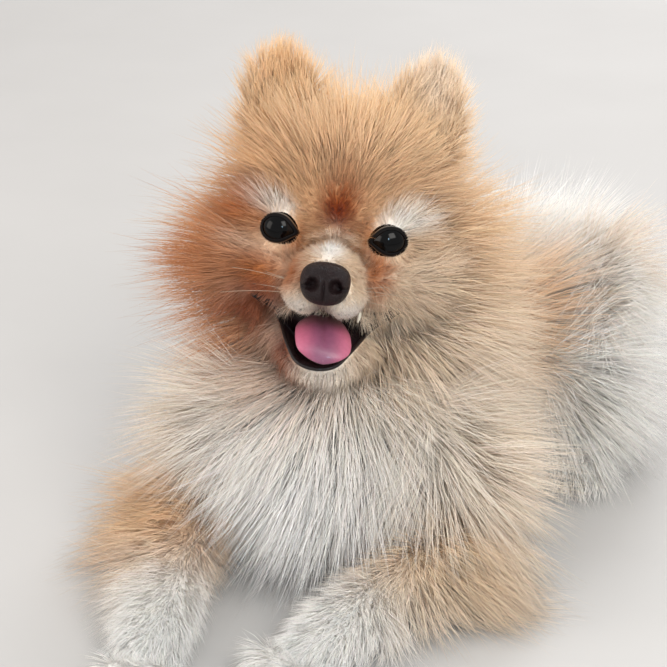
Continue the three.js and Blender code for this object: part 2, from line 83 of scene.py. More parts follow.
# The head's own frame: x to the dog's left, y backwards, z up, from midway between the eyes.
EYE_MIDPOINT: Triple = (0.0, -43.0, 158.0)
HEAD_TURN, HEAD_RAISE, HEAD_TILT = 14.0, 19.0, 5.3
EYE_SPACING = 45.0
MUZZLE: Triple = (0.0, -25.0, -18.0)
NOSE: Triple = (0.8, -31.5, -18.2)
EAR_SPACING = 62.0
ELBOW_SPACING = 140.0


class Side(Enum):
    """The dog's own left or right, as the sign of x."""

    LEFT = 1
    RIGHT = -1

    @property
    def word(self) -> str:
        """The side's name in lower case."""
        return self.name.lower()


class Finish(Enum):
    """Material slot names that each piece is passed with; dress does not use them."""

    CREAM = "coat_cream"
    WHITE = "coat_white"
    NOSE = "nose_leather"
    TONGUE = "tongue"
    EYE = "eye"


def unit(vectors: Array) -> Array:
    """Vectors scaled to length one, row by row."""
    return vectors / np.maximum(np.linalg.norm(vectors, axis=-1, keepdims=True), 1e-9)


def ramp(low: float, high: float, values: Array) -> Array:
    """A smooth rise from 0 at low to 1 at high."""
    share = np.clip((values - low) / (high - low), 0.0, 1.0)
    return share * share * (3.0 - 2.0 * share)


def mix(first: Array | float, second: Array | float, share: Array | float) -> Array:
    """A blend that is first at share 0 and second at share 1."""
    return first + (second - first) * share


def linear(red: int, green: int, blue: int) -> Array:
    """A colour given as the eye sees it, in 0 to 255, as linear light."""
    seen = np.array([red, green, blue]) / 255.0
    return np.where(seen <= 0.04045, seen / 12.92, ((seen + 0.055) / 1.055) ** 2.4)


class HeadFrame:
    """Turns points and directions between the head's own frame and the world."""

    def __init__(self) -> None:
        """Works out the head's turn, raise and tilt as one matrix."""
        turn = Euler((0.0, 0.0, np.radians(HEAD_TURN))).to_matrix()
        lift = Euler((np.radians(-HEAD_RAISE), 0.0, 0.0)).to_matrix()
        tilt = Euler((0.0, np.radians(HEAD_TILT), 0.0)).to_matrix()
        self.axes = np.array(turn @ lift @ tilt)
        self.origin = np.array(EYE_MIDPOINT)

    def out(self, points: Any) -> Array:
        """Points of the head's frame as world points."""
        return np.asarray(points, float) @ self.axes.T + self.origin

    def into(self, points: Array) -> Array:
        """World points as points of the head's frame."""
        return (points - self.origin) @ self.axes

    def aim(self, directions: Any) -> Array:
        """Directions of the head's frame as world directions."""
        return np.asarray(directions, float) @ self.axes.T


HEAD = HeadFrame()


def mesh_object(name: str, points: Array, faces: Any, smooth: bool = True) -> bpy.types.Object:
    """Makes a mesh object from points in millimetres.

    Args:
        name: The object's name.
        points: Vertex places in millimetres.
        faces: Vertex indices of each face.
        smooth: Whether the faces are shaded smooth.

    Returns:
        The new object, linked to the scene.
    """
    mesh = bpy.data.meshes.new(name)
    mesh.from_pydata((np.asarray(points) * MM).tolist(), [], [list(f) for f in faces])
    mesh.validate()
    if smooth:
        mesh.shade_smooth()
    else:
        mesh.shade_flat()
    made = bpy.data.objects.new(name, mesh)
    bpy.context.collection.objects.link(made)
    return made


def closed_object(name: str, points: Array, faces: Any, smooth: bool = True) -> bpy.types.Object:
    """Makes a closed mesh object, as mesh_object does, and turns its faces outwards."""
    made = mesh_object(name, points, faces, smooth)
    work = bmesh.new()
    work.from_mesh(made.data)
    bmesh.ops.recalc_face_normals(work, faces=work.faces)
    work.to_mesh(made.data)
    work.free()
    return made


def joined(parts: Sequence[tuple[Array, Any]]) -> tuple[Array, list[tuple[int, ...]]]:
    """Points and faces of several surfaces as one."""
    faces, base = [], 0
    for points, loops in parts:
        faces += [tuple(i + base for i in loop) for loop in loops]
        base += len(points)
    return np.vstack([points for points, _ in parts]), faces


def turns(count: int) -> Array:
    """Angles spaced evenly round a circle, in radians."""
    return np.linspace(0.0, 2 * np.pi, count, endpoint=False)


def ring_faces(around: int, along: int, closed: bool = False) -> list[tuple[int, ...]]:
    """Four-sided faces between neighbouring rings.

    Args:
        around: Points in a ring.
        along: Number of rings.
        closed: Whether the last ring joins the first.

    Returns:
        The faces, ring by ring.
    """
    faces = []
    for ring in range(along if closed else along - 1):
        here, there = ring * around, (ring + 1) % along * around
        for i in range(around):
            after = (i + 1) % around
            faces.append((here + i, here + after, there + after, there + i))
    return faces


def unit_ball(around: int, along: int) -> Array:
    """Points of a ball of radius one, in rings about z, with its two poles last."""
    polar = np.linspace(0.0, np.pi, along + 2)[1:-1, None]
    turn = turns(around)[None, :]
    high = np.broadcast_to(np.cos(polar), (along, around))
    ring = np.stack([np.sin(polar) * np.cos(turn), np.sin(polar) * np.sin(turn), high], -1)
    return np.vstack([ring.reshape(-1, 3), [[0, 0, 1]], [[0, 0, -1]]])


def tube_faces(around: int, along: int) -> list[tuple[int, ...]]:
    """Faces of a tube of rings with a point at each end.

    Args:
        around: Points in a ring.
        along: Number of rings.

    Returns:
        The faces, with the two end points as the last two vertices.
    """
    quads = ring_faces(around, along)
    first, last = around * along, around * along + 1
    start = [(first, (i + 1) % around, i) for i in range(around)]
    top = (along - 1) * around
    end = [(last, top + i, top + (i + 1) % around) for i in range(around)]
    return quads + start + end


def smooth_path(path: Array, count: int) -> Array:
    """Points spaced evenly in parameter along a smooth curve through a path's points.

    Args:
        path: The points that the curve passes.
        count: How many points to return.

    Returns:
        The points, one row each.
    """
    knots = np.vstack([2 * path[0] - path[1], path, 2 * path[-1] - path[-2]])
    place = np.linspace(0.0, len(path) - 1.0, count)
    index = np.minimum(place.astype(int), len(path) - 2)
    t = (place - index)[:, None]
    a, b, c, d = (knots[index + k] for k in range(4))
    return 0.5 * (2 * b + (c - a) * t + (2 * a - 5 * b + 4 * c - d) * t**2 + (3 * b - a - 3 * c + d) * t**3)


@dataclass
class Limb:
    """A stretch of flesh along a smooth path, with an oval section and rounded ends."""

    name: str
    path: Sequence[Triple | Array]
    sizes: Sequence[tuple[float, float]]
    rise: Triple = (0.0, 0.0, 1.0)
    blunt: float = 4.0
    cup: float = 0.0
    steps: int = 28

    def __post_init__(self) -> None:
        """Works out the limb's centres, directions and half sizes along its path."""
        self.centres = smooth_path(np.array(self.path, float), self.steps)
        self.halves = smooth_path(np.array(self.sizes, float), self.steps)
        self.tangents = unit(np.gradient(self.centres, axis=0))
        self.sides = unit(np.cross(self.tangents, np.array(self.rise)))
        self.rises = np.cross(self.sides, self.tangents)

    def mesh(self, around: int = 28) -> tuple[Array, list[tuple[int, ...]]]:
        """The limb's closed surface.

        Args:
            around: Points in a ring.

        Returns:
            Its points in millimetres and its faces.
        """
        share = np.linspace(0.0, 1.0, self.steps)
        inner = (1.0 - np.cos(np.pi * share)) / 2.0
        rows = np.interp(inner, share, np.arange(self.steps))[1:-1]
        low = np.floor(rows).astype(int)
        part = (rows - low)[:, None]
        centre, side, rise, half = (
            mix(data[low], data[low + 1], part)
            for data in (self.centres, self.sides, self.rises, self.halves)
        )
        taper = np.sqrt(1.0 - np.abs(2 * inner[1:-1] - 1.0) ** self.blunt)
        angle = turns(around)
        c, s = np.cos(angle)[None, :, None], np.sin(angle)[None, :, None]
        reach = half[:, None, :] * taper[:, None, None]
        ring = centre[:, None] + side[:, None] * c * reach[..., :1] + rise[:, None] * s * reach[..., 1:]
        ring = ring + rise[:, None] * self.cup * c**2 * taper[:, None, None]
        points = np.vstack([ring.reshape(-1, 3), self.centres[:1], self.centres[-1:]])
        return points, tube_faces(around, len(rows))

    def reach(self, points: Array) -> tuple[Array, Array]:
        """How far points are from the limb's surface, and the nearest place along it.

        Args:
            points: World points in millimetres.

        Returns:
            Distances, below zero inside, and indices along the path.
        """
        best = np.full(len(points), 1e9)
        where = np.zeros(len(points), int)
        for index in range(self.steps):
            offset = points - self.centres[index]
            gap = np.linalg.norm(offset, axis=1) - self.halves[index].mean()
            nearer = gap < best
            best[nearer] = gap[nearer]
            where[nearer] = index
        return best, where


def head_limb(name: str, path: Sequence[Triple], sizes: Any, rise: Triple, **more: float) -> Limb:
    """A limb whose path and rise are given in the head's frame."""
    world = [tuple(point) for point in HEAD.out(path)]
    return Limb(name, world, sizes, tuple(HEAD.aim(rise)), **more)


@dataclass(frozen=True)
class Oval:
    """An oval of flesh in the head's frame."""

    centre: Triple
    radii: Triple

    def mesh(self, around: int = 36, along: int = 22) -> tuple[Array, list[tuple[int, ...]]]:
        """The oval's points in the world, in millimetres, and its faces."""
        points = HEAD.out(unit_ball(around, along) * np.array(self.radii) + np.array(self.centre))
        return points, [face[::-1] for face in tube_faces(around, along)]


def between(first: Triple, second: Triple, share: float) -> Triple:
    """The point at a share of the way from one point to another."""
    return tuple(np.array(first) + (np.array(second) - np.array(first)) * share)


@dataclass
class Anatomy:
    """The dog's flesh under its coat, as limbs and ovals that one skin wraps."""

    skull: tuple[Oval, ...] = (
        Oval((0, 34, 10), (31, 34, 31)),
        Oval((0, 10, 12), (19, 14, 13)),
        Oval((22.5, 13, 0.5), (13, 14.1, 13.5)),
        Oval((-22.5, 13, 0.5), (13, 14.1, 13.5)),
        Oval((25, 19, -18), (17, 21, 17)),
        Oval((-25, 19, -18), (17, 21, 17)),
        Oval((0, -8, -16.5), (14, 21, 11)),
        Oval((8.2, -17, -24.5), (8.2, 11, 7.8)),
        Oval((-8.2, -17, -24.5), (8.2, 11, 7.8)),
        Oval((0, 24, -36), (23, 20, 16)),
    )
    front: dict[Side, dict[str, Triple]] = field(default_factory=lambda: {
        Side.LEFT: {
            "shoulder": (34, -30, 76),
            "elbow": (ELBOW_SPACING / 2 + 2, -46, 24),
            "wrist": (34, -100, 15),
            "toes": (12, -144, 9),
        },
        Side.RIGHT: {
            "shoulder": (-34, -30, 76),
            "elbow": (-ELBOW_SPACING / 2 + 2, -48, 24),
            "wrist": (-50, -116, 15),
            "toes": (-42, -166, 9),
        },
    })
    hind: dict[Side, dict[str, Triple]] = field(default_factory=lambda: {
        Side.LEFT: {
            "hip": (74, 110, 46),
            "knee": (84, 54, 34),
            "hock": (94, 112, 12),
            "toes": (92, 54, 9),
        },
        Side.RIGHT: {
            "hip": (22, 136, 46),
            "knee": (-16, 100, 34),
            "hock": (10, 150, 12),
            "toes": (-34, 92, 9),
        },
    })

    def trunk(self) -> list[Limb]:
        """The neck, chest, rump and tail."""
        return [
            Limb(
                "neck",
                [(0, -8, 72), (-1, -6, 94), (-4, 6, 120), (-9, 20, 142), (-13, 30, 154)],
                [(40, 34), (44, 36), (43, 33), (36, 29), (22, 20)],
                rise=(0, -1, 0),
            ),
            Limb(
                "chest",
                [(0, -60, 54), (0, -30, 54), (1, 10, 54), (8, 50, 53), (20, 80, 51)],
                [(34, 38), (46, 50), (46, 50), (44, 47), (37, 39)],
            ),
            Limb(
                "rump",
                [(8, 44, 50), (22, 78, 48), (38, 104, 46), (56, 132, 45), (66, 148, 44)],
                [(38, 38), (47, 45), (50, 44), (45, 42), (28, 29)],
            ),
            Limb(
                "tail",
                [(56, 146, 58), (66, 150, 74), (80, 138, 84), (92, 116, 86), (96, 92, 82), (94, 74, 76)],
                [(9, 9), (8, 8), (7, 6), (6, 5), (5, 4), (3, 3)],
                rise=(0.3, 0.5, 1.0),
            ),
        ]

    def jaw(self) -> Limb:
        """The lower jaw, dropped open."""
        path = [(0, 20, -38), (0, 4, -45), (0, -12, -51.5), (0, -21, -54.5)]
        return head_limb("jaw", path, [(22, 13.5), (18, 11), (13, 7.5), (8.5, 4.4)], (0, 0, 1))

    def ear(self, side: Side) -> Limb:
        """A small rounded ear, cupped to the front."""
        x = side.value * EAR_SPACING / 2
        s = side.value
        path = [(x - s * 3, 42, 26), (x, 43, 46), (x + s * 2, 45, 63), (x + s * 2, 46, 74)]
        return head_limb(f"ear_{side.word}", path, [(13, 7), (16, 5), (13, 4), (6, 3)], (0, -1, 0), cup=6.0)

    def arm(self, side: Side) -> list[Limb]:
        """The upper arm, forearm and forepaw of one side."""
        p = self.front[side]
        return [
            Limb(
                f"upper_arm_{side.word}",
                [p["shoulder"], between(p["shoulder"], p["elbow"], 0.5), p["elbow"]],
                [(17, 18), (17, 17), (13, 14)],
                rise=(0, -1, 0.2),
            ),
            Limb(
                f"forearm_{side.word}",
                [between(p["elbow"], p["wrist"], -0.1), between(p["elbow"], p["wrist"], 0.5), p["wrist"]],
                [(13, 14), (12, 12), (10, 10)],
            ),
            Limb(
                f"forepaw_{side.word}",
                [between(p["elbow"], p["wrist"], 0.9), p["wrist"], between(p["wrist"], p["toes"], 0.9)],
                [(10, 10), (11, 10), (13, 8)],
            ),
        ]

    def leg(self, side: Side) -> list[Limb]:
        """The thigh and hind paw of one side, folded under."""
        p = self.hind[side]
        return [
            Limb(
                f"thigh_{side.word}",
                [p["hip"], between(p["hip"], p["knee"], 0.5), p["knee"]],
                [(24, 28), (24, 27), (18, 21)],
            ),
            Limb(
                f"hind_paw_{side.word}",
                [p["hock"], between(p["hock"], p["toes"], 0.5), between(p["hock"], p["toes"], 0.94)],
                [(9, 9), (10, 9), (12, 8)],
            ),
        ]

    def paired(self) -> list[Limb]:
        """The ear, arm and leg of each side."""
        return [limb for s in Side for limb in (self.ear(s), *self.arm(s), *self.leg(s))]

    def toes(self) -> list[Limb]:
        """Four short toes on each paw."""
        found = []
        paws = [(self.front[s], "wrist", 14.0) for s in Side]
        paws += [(self.hind[s], "hock", 12.5) for s in Side]
        for number, (points, start, half) in enumerate(paws):
            back, tip = np.array(points[start]), np.array(points["toes"])
            ahead = unit((tip - back) * np.array([1.0, 1.0, 0.0]))
            across = np.cross(ahead, UP)
            for toe, share in enumerate((-0.72, -0.25, 0.25, 0.72)):
                reach = 8.0 * (1.0 - share * share)
                foot = tip + across * share * half + ahead * (reach - 9.0)
                path = [
                    foot * [1, 1, 0] + [0, 0, 8.5],
                    foot + ahead * 6 - [0, 0, foot[2] - 8],
                    foot + ahead * 11 - [0, 0, foot[2] - 5.5],
                ]
                sizes = [(5, 7), (5.2, 6), (4.2, 4.6)]
                found.append(Limb(f"toe_{number}_{toe}", path, sizes, steps=12))
        return found


ANATOMY = Anatomy()


@dataclass(frozen=True)
class Lips:
    """The edges of the open mouth on the dog's left, from the corner to the middle, in the head's frame."""

    upper: tuple[Triple, ...] = (
        (31, 7, -29.6), (25, -3, -31.2), (17.5, -12, -32.2),
        (10, -21, -32.8), (3.5, -26, -32.4), (0, -26.5, -31.2),
    )
    lower: tuple[Triple, ...] = (
        (31, 7, -30.4), (23.5, -2, -36.5), (17.5, -9, -41.8),
        (12.8, -17, -47.2), (7.5, -23.5, -52.6), (0, -25.5, -54.2),
    )

    def outline(self) -> tuple[Array, Array, Array]:
        """Places across the mouth, with the upper and lower lip's height at each."""
        across = np.linspace(-self.upper[0][0], self.upper[0][0], 61)
        heights = []
        for edge in (self.upper, self.lower):
            curve = smooth_path(np.array(edge, float), 60)[::-1]
            heights.append(np.interp(np.abs(across), curve[:, 0], curve[:, 2]))
        return across, np.maximum(heights[0], heights[1]), heights[1]

    def gap(self, face: Array) -> Array:
        """How far points of the head's frame are from the lips' edges, with depth counted less."""
        gap = np.full(len(face), 1e9)
        squeezed = np.column_stack([np.abs(face[:, 0]), 0.6 * face[:, 1], face[:, 2]])
        for edge in (self.upper, self.lower):
            for spot in smooth_path(np.array(edge, float), 26):
                gap = np.minimum(gap, np.linalg.norm(squeezed - spot * np.array([1.0, 0.6, 1.0]), axis=1))
        return gap


LIPS = Lips()


@dataclass
class Skin:
    """One skin over all the flesh, with the mouth cut open."""

    voxel: float = 2.2
    mouth_back: float = 17.0
    mouth_front: float = -80.0

    def build(self) -> bpy.types.Object:
        """Wraps the flesh in one closed mesh and opens the mouth.

        Returns:
            The skin's object.
        """
        limbs = [*ANATOMY.trunk(), ANATOMY.jaw(), *ANATOMY.toes(), *ANATOMY.paired()]
        skin = mesh_object("skin", *joined([shape.mesh() for shape in [*limbs, *ANATOMY.skull]]))
        remesh = skin.modifiers.new("wrap", "REMESH")
        remesh.mode = "VOXEL"
        remesh.voxel_size = self.voxel * MM
        soften = skin.modifiers.new("soften", "SMOOTH")
        soften.factor = 0.5
        soften.iterations = 9
        self.apply(skin)
        cutter = self.mouth_cutter()
        cut = skin.modifiers.new("mouth", "BOOLEAN")
        cut.operation = "DIFFERENCE"
        cut.solver = "MANIFOLD"
        cut.object = cutter
        self.apply(skin)
        bpy.data.objects.remove(cutter)
        skin.data.shade_smooth()
        return skin

    @staticmethod
    def apply(piece: bpy.types.Object) -> None:
        """Turns a piece's modifiers into plain mesh."""
        depsgraph = bpy.context.evaluated_depsgraph_get()
        made = bpy.data.meshes.new_from_object(piece.evaluated_get(depsgraph))
        piece.modifiers.clear()
        old = piece.data
        piece.data = made
        bpy.data.meshes.remove(old)

    def mouth_cutter(self) -> bpy.types.Object:
        """The shape of the open mouth between the lips, drawn straight back from the front."""
        x, top, low = LIPS.outline()
        outline = np.column_stack([np.concatenate([x, x[-2:0:-1]]), np.concatenate([top, low[-2:0:-1]])])
        count = len(outline)
        ends = [np.column_stack([outline[:, 0], np.full(count, y), outline[:, 1]])
                for y in (self.mouth_front, self.mouth_back)]
        faces = [tuple(range(count)), tuple(range(2 * count - 1, count - 1, -1))]
        faces += [(i, count + i, count + (i + 1) % count, (i + 1) % count) for i in range(count)]
        return closed_object("mouth_wedge", HEAD.out(np.vstack(ends)), faces, smooth=False)

    def in_mouth(self, points: Array, spare: float = 0.6) -> Array:
        """Whether points lie inside the open mouth, with a little to spare.

        Args:
            points: World points in millimetres.
            spare: How far outside the mouth still counts.

        Returns:
            One truth value for each point.
        """
        x, y, z = HEAD.into(points).T
        edge, top, low = LIPS.outline()
        inside = (z < np.interp(x, edge, top) + spare) & (z > np.interp(x, edge, low) - spare)
        return inside & (np.abs(x) < edge[-1] + spare) & (y < self.mouth_back + spare)


def colour_attribute(mesh: bpy.types.Mesh, colours: Array) -> None:
    """Stores one colour a vertex as the attribute that the coat and skin read."""
    data = mesh.color_attributes.new("Coat", "FLOAT_COLOR", "POINT")
    rgba = np.column_stack([colours, np.ones(len(colours))]).astype(np.float32)
    data.data.foreach_set("color", rgba.ravel())


def read_back(items: Any, name: str, width: int, kind: type = np.float32) -> Array:
    """Reads a value of every item of a mesh, such as each corner's vertex, one row an item."""
    flat = np.empty(len(items) * width, kind)
    items.foreach_get(name, flat)
    return flat.reshape(-1, width) if width > 1 else flat


def mesh_points(mesh: bpy.types.Mesh) -> Array:
    """A mesh's vertices in millimetres."""
    return read_back(mesh.vertices, "co", 3).astype(float) / MM


@dataclass(frozen=True)
class Patch:
    """A soft-edged patch of the coat's colour."""

    centre: Triple
    radii: Triple
    colour: tuple[int, int, int]
    strength: float = 1.0
    on_head: bool = True

    def paint(self, colours: Array, world: Array, face: Array) -> Array:
        """Lays the patch over what is there.

        Args:
            colours: The colours so far.
            world: The points in the world.
            face: The same points in the head's frame.

        Returns:
            The colours with this patch.
        """
        offset = ((face if self.on_head else world) - np.array(self.centre)) / np.array(self.radii)
        share = self.strength * np.exp(-((offset**2).sum(axis=1)) ** 1.3)
        return mix(colours, linear(*self.colour), share[:, None])


@dataclass(frozen=True)
class Markings:
    """The coat's colours: cream, white behind and below, fawn on the crown and rust on the face."""

    cream: tuple[int, int, int] = (244, 226, 204)
    white: tuple[int, int, int] = (250, 247, 242)
    patches: tuple[Patch, ...] = (
        Patch((-4, -60, 62), (56, 40, 46), (250, 247, 243), 0.9, False),
        Patch((-6, -84, 36), (58, 44, 42), (250, 248, 246), 0.95, False),
        Patch((52, 62, 80), (20, 34, 18), (240, 190, 138), 0.88, False),
        Patch((84, 86, 84), (10, 18, 10), (244, 198, 146), 0.75, False),
        Patch((84, 130, 88), (16, 18, 10), (242, 216, 190), 0.7, False),
        Patch((54, -68, 30), (34, 36, 24), (236, 202, 160), 0.8, False),
        Patch((-62, -76, 32), (30, 36, 24), (230, 184, 132), 0.85, False),
        Patch((16, -134, 10), (28, 32, 22), (250, 248, 244), 0.95, False),
        Patch((-44, -150, 10), (26, 34, 22), (250, 248, 244), 0.95, False),
        Patch((0, 40, 46), (70, 52, 44), (240, 200, 152), 0.9),
        Patch((-46, 34, 10), (28, 44, 28), (232, 172, 114), 0.85),
        Patch((42, 34, 5), (28, 44, 30), (242, 212, 178), 0.8),
        Patch((0, 66, 10), (60, 34, 60), (234, 192, 144), 0.85),
        Patch((0, 6, 10), (34, 30, 22), (228, 174, 118), 0.8),
        Patch((-33, 46, 60), (14, 16, 18), (236, 192, 144), 0.85),
        Patch((33, 46, 60), (14, 16, 18), (246, 226, 204), 0.85),
        Patch((0, -12, -15), (17, 20, 13), (224, 192, 156), 0.85),
        Patch((-42, 16, -12), (15, 20, 20), (206, 132, 74), 0.92),
        Patch((-32, 38, -36), (24, 28, 24), (208, 134, 76), 0.88),
        Patch((-33, 8, 8), (9, 16, 7), (196, 118, 54), 0.92),
        Patch((-34, 2, -8), (5, 8, 5), (236, 208, 184), 0.7),
        Patch((-28, 0, -19), (12, 20, 8), (186, 108, 44), 0.95),
        Patch((-25, 4, -26), (10, 20, 6), (156, 72, 28), 0.85),
        Patch((-32, 15, -34), (12, 18, 11), (150, 66, 22), 0.9),
        Patch((-24, 2, -41), (9, 16, 9), (160, 80, 32), 0.9),
        Patch((-15, -6, -51), (12, 16, 10), (138, 62, 20), 0.95),
        Patch((-14, -6, -61), (11, 20, 7), (172, 98, 50), 0.85),
        Patch((-6, 25, -58), (12, 14, 12), (214, 178, 152), 0.7),
        Patch((26, 0, -24), (16, 24, 11), (232, 206, 178), 0.9),
        Patch((24, 6, -46), (17, 22, 13), (226, 196, 162), 0.8),
        Patch((13, 0, 0), (5, 14, 6), (204, 124, 60), 0.9),
        Patch((19, -2, -13), (5.5, 20, 10), (196, 112, 48), 0.9),
        Patch((-38, 10, 3), (9, 22, 6), (196, 114, 54), 0.85),
        Patch((-14, 0, -4), (7, 16, 9), (206, 132, 74), 0.85),
        Patch((-12, -14, -16.5), (7.5, 16, 8.5), (190, 108, 48), 0.92),
        Patch((1.6, -1, 12), (8.5, 18, 10), (166, 88, 36), 1.0),
        Patch((0.6, -3, 9), (5.0, 14, 6.0), (128, 46, 8), 0.95),
        Patch((-23.5, 2, 8.0), (8.5, 16, 3.2), (246, 238, 228), 0.9),
        Patch((27.5, 2, 7.0), (10.0, 16, 4.6), (250, 244, 236), 0.95),
        Patch((0.5, -12, -5.5), (4.6, 16, 8.0), (250, 246, 240), 1.0),
        Patch((-10, -20, -28), (6.5, 10, 4.0), (226, 216, 208), 0.8),
        Patch((11, -20, -28.5), (8.5, 10, 5), (236, 228, 220), 0.95),
        Patch((0, -24, -29), (4, 8, 3), (120, 94, 92), 0.8),
        Patch((5, -15, -58), (10.5, 18, 6), (238, 226, 214), 0.85),
    )

    def colour(self, points: Array) -> Array:
        """The coat's colour at points of the skin.

        Args:
            points: World points in millimetres.

        Returns:
            Linear colours, one row each.
        """
        face = HEAD.into(points)
        base = np.tile(linear(*self.cream), (len(points), 1))
        back = ramp(34.0, 66.0, points[:, 1])[:, None] * (1.0 - ramp(128.0, 150.0, points[:, 2]))[:, None]
        base = mix(base, linear(*self.white), back)
        low = (1.0 - ramp(20.0, 70.0, points[:, 2]))[:, None]
        base = mix(base, linear(*self.white), 0.75 * low)
        for patch in self.patches:
            base = patch.paint(base, points, face)
        return base


MARKINGS = Markings()


@dataclass
class CoatRegion:
    """How the coat grows on one part: length, how far it stands off, and which way it runs."""

    limb: Limb
    length: float
    lift: tuple[float, float]
    density: float
    width: float
    along: float = 0.0
    push: Triple = (0.0, 0.0, 0.0)
    fringe: float = 0.0

    def grow(self, points: Array, run: Array) -> tuple[Array, dict[str, Array]]:
        """How the coat grows near this part.

        Args:
            points: World points in millimetres.
            run: The way that the coat runs over the whole dog.

        Returns:
            How far each point is from the part, and the length, lifts, density, width and direction there.
        """
        gap, where = self.limb.reach(points)
        push = np.array(self.push)
        outward = unit(points - self.limb.centres[where])
        facing = np.zeros(len(points))
        if self.fringe:
            facing = ramp(-0.3, 0.7, outward @ (push / max(np.linalg.norm(push), 1e-6)))
        flow = run * (1.0 if self.along < 1.0 else 0.25)
        flow = flow + self.limb.tangents[where] * self.along * (1.0 - 0.7 * facing)[:, None] + push
        return gap, {
            "length": self.length + self.fringe * facing,
            "root": self.lift[0] + 22.0 * facing,
            "tip": self.lift[1] + 16.0 * facing,
            "density": np.full(len(points), self.density),
            "width": np.full(len(points), self.width),
            "flow": flow,
        }


def raised(lie: Array, normal: Array, degrees: Array) -> Array:
    """Directions lifted off the skin by angles in degrees, from the way the coat lies."""
    angle = np.radians(degrees)[:, None]
    return lie * np.cos(angle) + normal * np.sin(angle)


@dataclass
class Coat:
    """The long stand-off coat, as thousands of thin tapered tufts over the skin."""

    seed: int = 5
    tufts_wanted: int = 140000
    softness: float = 7.0
    hang: float = 0.45
    clump_spacing: float = 9.0
    clump_pull: float = 0.5
    undercoat: float = 0.3
    proud: float = 9.0
    undercoat_width: float = 2.1
    bare_eye: tuple[float, float] = (6.5, 5.2)
    bare_nose: tuple[float, float] = (9.0, 7.8)
    bare_lip: float = 1.9
    bare_floor: float = 9.0
    stray: float = 0.16
    sway: float = 6.0
    wave: float = 0.14
    drift_grain: float = 0.035
    room: Sequence[Sequence[float]] = ((-1.0, -1.0, 0.0), (1.0, 1.0, 1.0))
    regions: list[CoatRegion] = field(default_factory=list)

    def __post_init__(self) -> None:
        """Lists the parts of the body and how the coat grows on each."""
        neck, chest, rump, tail = ANATOMY.trunk()
        bib = Limb("bib", [(0, -52, 78), (-4, -66, 50), (-8, -74, 28)], [(22, 20), (26, 22), (22, 20)])
        self.regions = [
            CoatRegion(neck, 68, (64, 40), 1.0, 0.31),
            CoatRegion(chest, 58, (52, 28), 0.75, 0.34),
            CoatRegion(rump, 60, (60, 36), 0.7, 0.35),
            CoatRegion(tail, 52, (26, 12), 1.8, 0.33, along=1.2, push=(0.95, 0.1, 0.05)),
            CoatRegion(ANATOMY.jaw(), 6, (26, 8), 2.4, 0.25),
            CoatRegion(bib, 92, (66, 40), 1.1, 0.31),
        ]
        for side in Side:
            upper, fore, paw = ANATOMY.arm(side)
            thigh, hind = ANATOMY.leg(side)
            out = float(side.value)
            self.regions += [
                CoatRegion(upper, 58, (54, 32), 0.9, 0.31),
                CoatRegion(
                    fore, 22, (34, 14), 1.5, 0.29, along=1.0, push=(0.9 * out, 0.3, -0.3), fringe=40.0
                ),
                CoatRegion(paw, 16, (40, 18), 2.2, 0.26, along=1.2, push=(0.0, 0.0, -0.2)),
                CoatRegion(thigh, 60, (58, 36), 0.75, 0.34),
                CoatRegion(hind, 16, (28, 12), 1.4, 0.34, along=1.0),
                CoatRegion(ANATOMY.ear(side), 18, (48, 24), 2.0, 0.3, along=1.0),
            ]

    def head_plan(self, face: Array) -> dict[str, Array]:
        """How the coat grows on the head, from short on the muzzle to the ruff behind the cheeks.

        Args:
            face: Points in the head's frame.

        Returns:
            Length, lifts, density, width and direction at each point.
        """
        centre = np.array([0.0, -16.0, -13.0])
        offset = face - centre
        away = np.linalg.norm(offset, axis=1)
        ruff = ramp(29.0, 64.0, away)
        crown = ramp(14.0, 36.0, face[:, 2]) * ramp(-4.0, 14.0, face[:, 1])
        side = mix(61.0, 82.0, ramp(0.0, 30.0, -face[:, 0]))
        length = mix(6.4, mix(side, 44.0, crown), ruff**1.2)
        length = length + 4.0 * ramp(30.0, 42.0, away) * (1.0 - ruff)
        length = np.maximum(length * mix(0.16, 1.0, ramp(1.0, 15.0, LIPS.gap(face))), 2.8)
        eye = face * [1.0, 0.0, 1.0] - np.outer(np.sign(face[:, 0]), [EYE_SPACING / 2, 0.0, 0.0])
        close = 1.0 - ramp(7.0, 13.5, np.linalg.norm(eye, axis=1))
        close = close * (1.0 - ramp(10.0, 20.0, face[:, 1]))
        length = length * (1.0 - 0.4 * close)
        flow = mix(unit(offset), unit(eye), close[:, None]) + np.array([0.0, 0.35, 0.0])
        return {
            "length": length,
            "root": mix(32.0, mix(72.0, 80.0, crown), ruff),
            "tip": mix(14.0, mix(52.0, 58.0, crown), ruff),
            "density": mix(4.0, 1.35, ramp(34.0, 62.0, away)),
            "width": mix(0.22, 0.36, ramp(34.0, 66.0, away)),
            "flow": HEAD.aim(flow) - np.outer(ruff, UP) * self.hang,
        }

    def plan(self, points: Array) -> dict[str, Array]:
        """How the coat grows at points of the skin, blended from the parts near each.

        Args:
            points: World points in millimetres.

        Returns:
            Length, lifts, density, width and direction at each point.
        """
        face = HEAD.into(points)
        head_gap = np.min([
            (np.linalg.norm((face - np.array(o.centre)) / np.array(o.radii), axis=1) - 1.0) * min(o.radii)
            for o in ANATOMY.skull
        ], axis=0)
        heads = self.head_plan(face)
        weight = np.exp(-np.maximum(head_gap, 0.0) / self.softness)
        total = weight.copy()
        summed = {key: (value.T * weight).T for key, value in heads.items()}
        run = unit(points - HEAD.out(MUZZLE)) - UP * self.hang
        for region in self.regions:
            gap, values = region.grow(points, run)
            weight = np.exp(-np.maximum(gap, 0.0) / self.softness)
            for key, value in values.items():
                summed[key] += (value.T * weight).T
            total += weight
        return {key: (value.T / total).T for key, value in summed.items()}

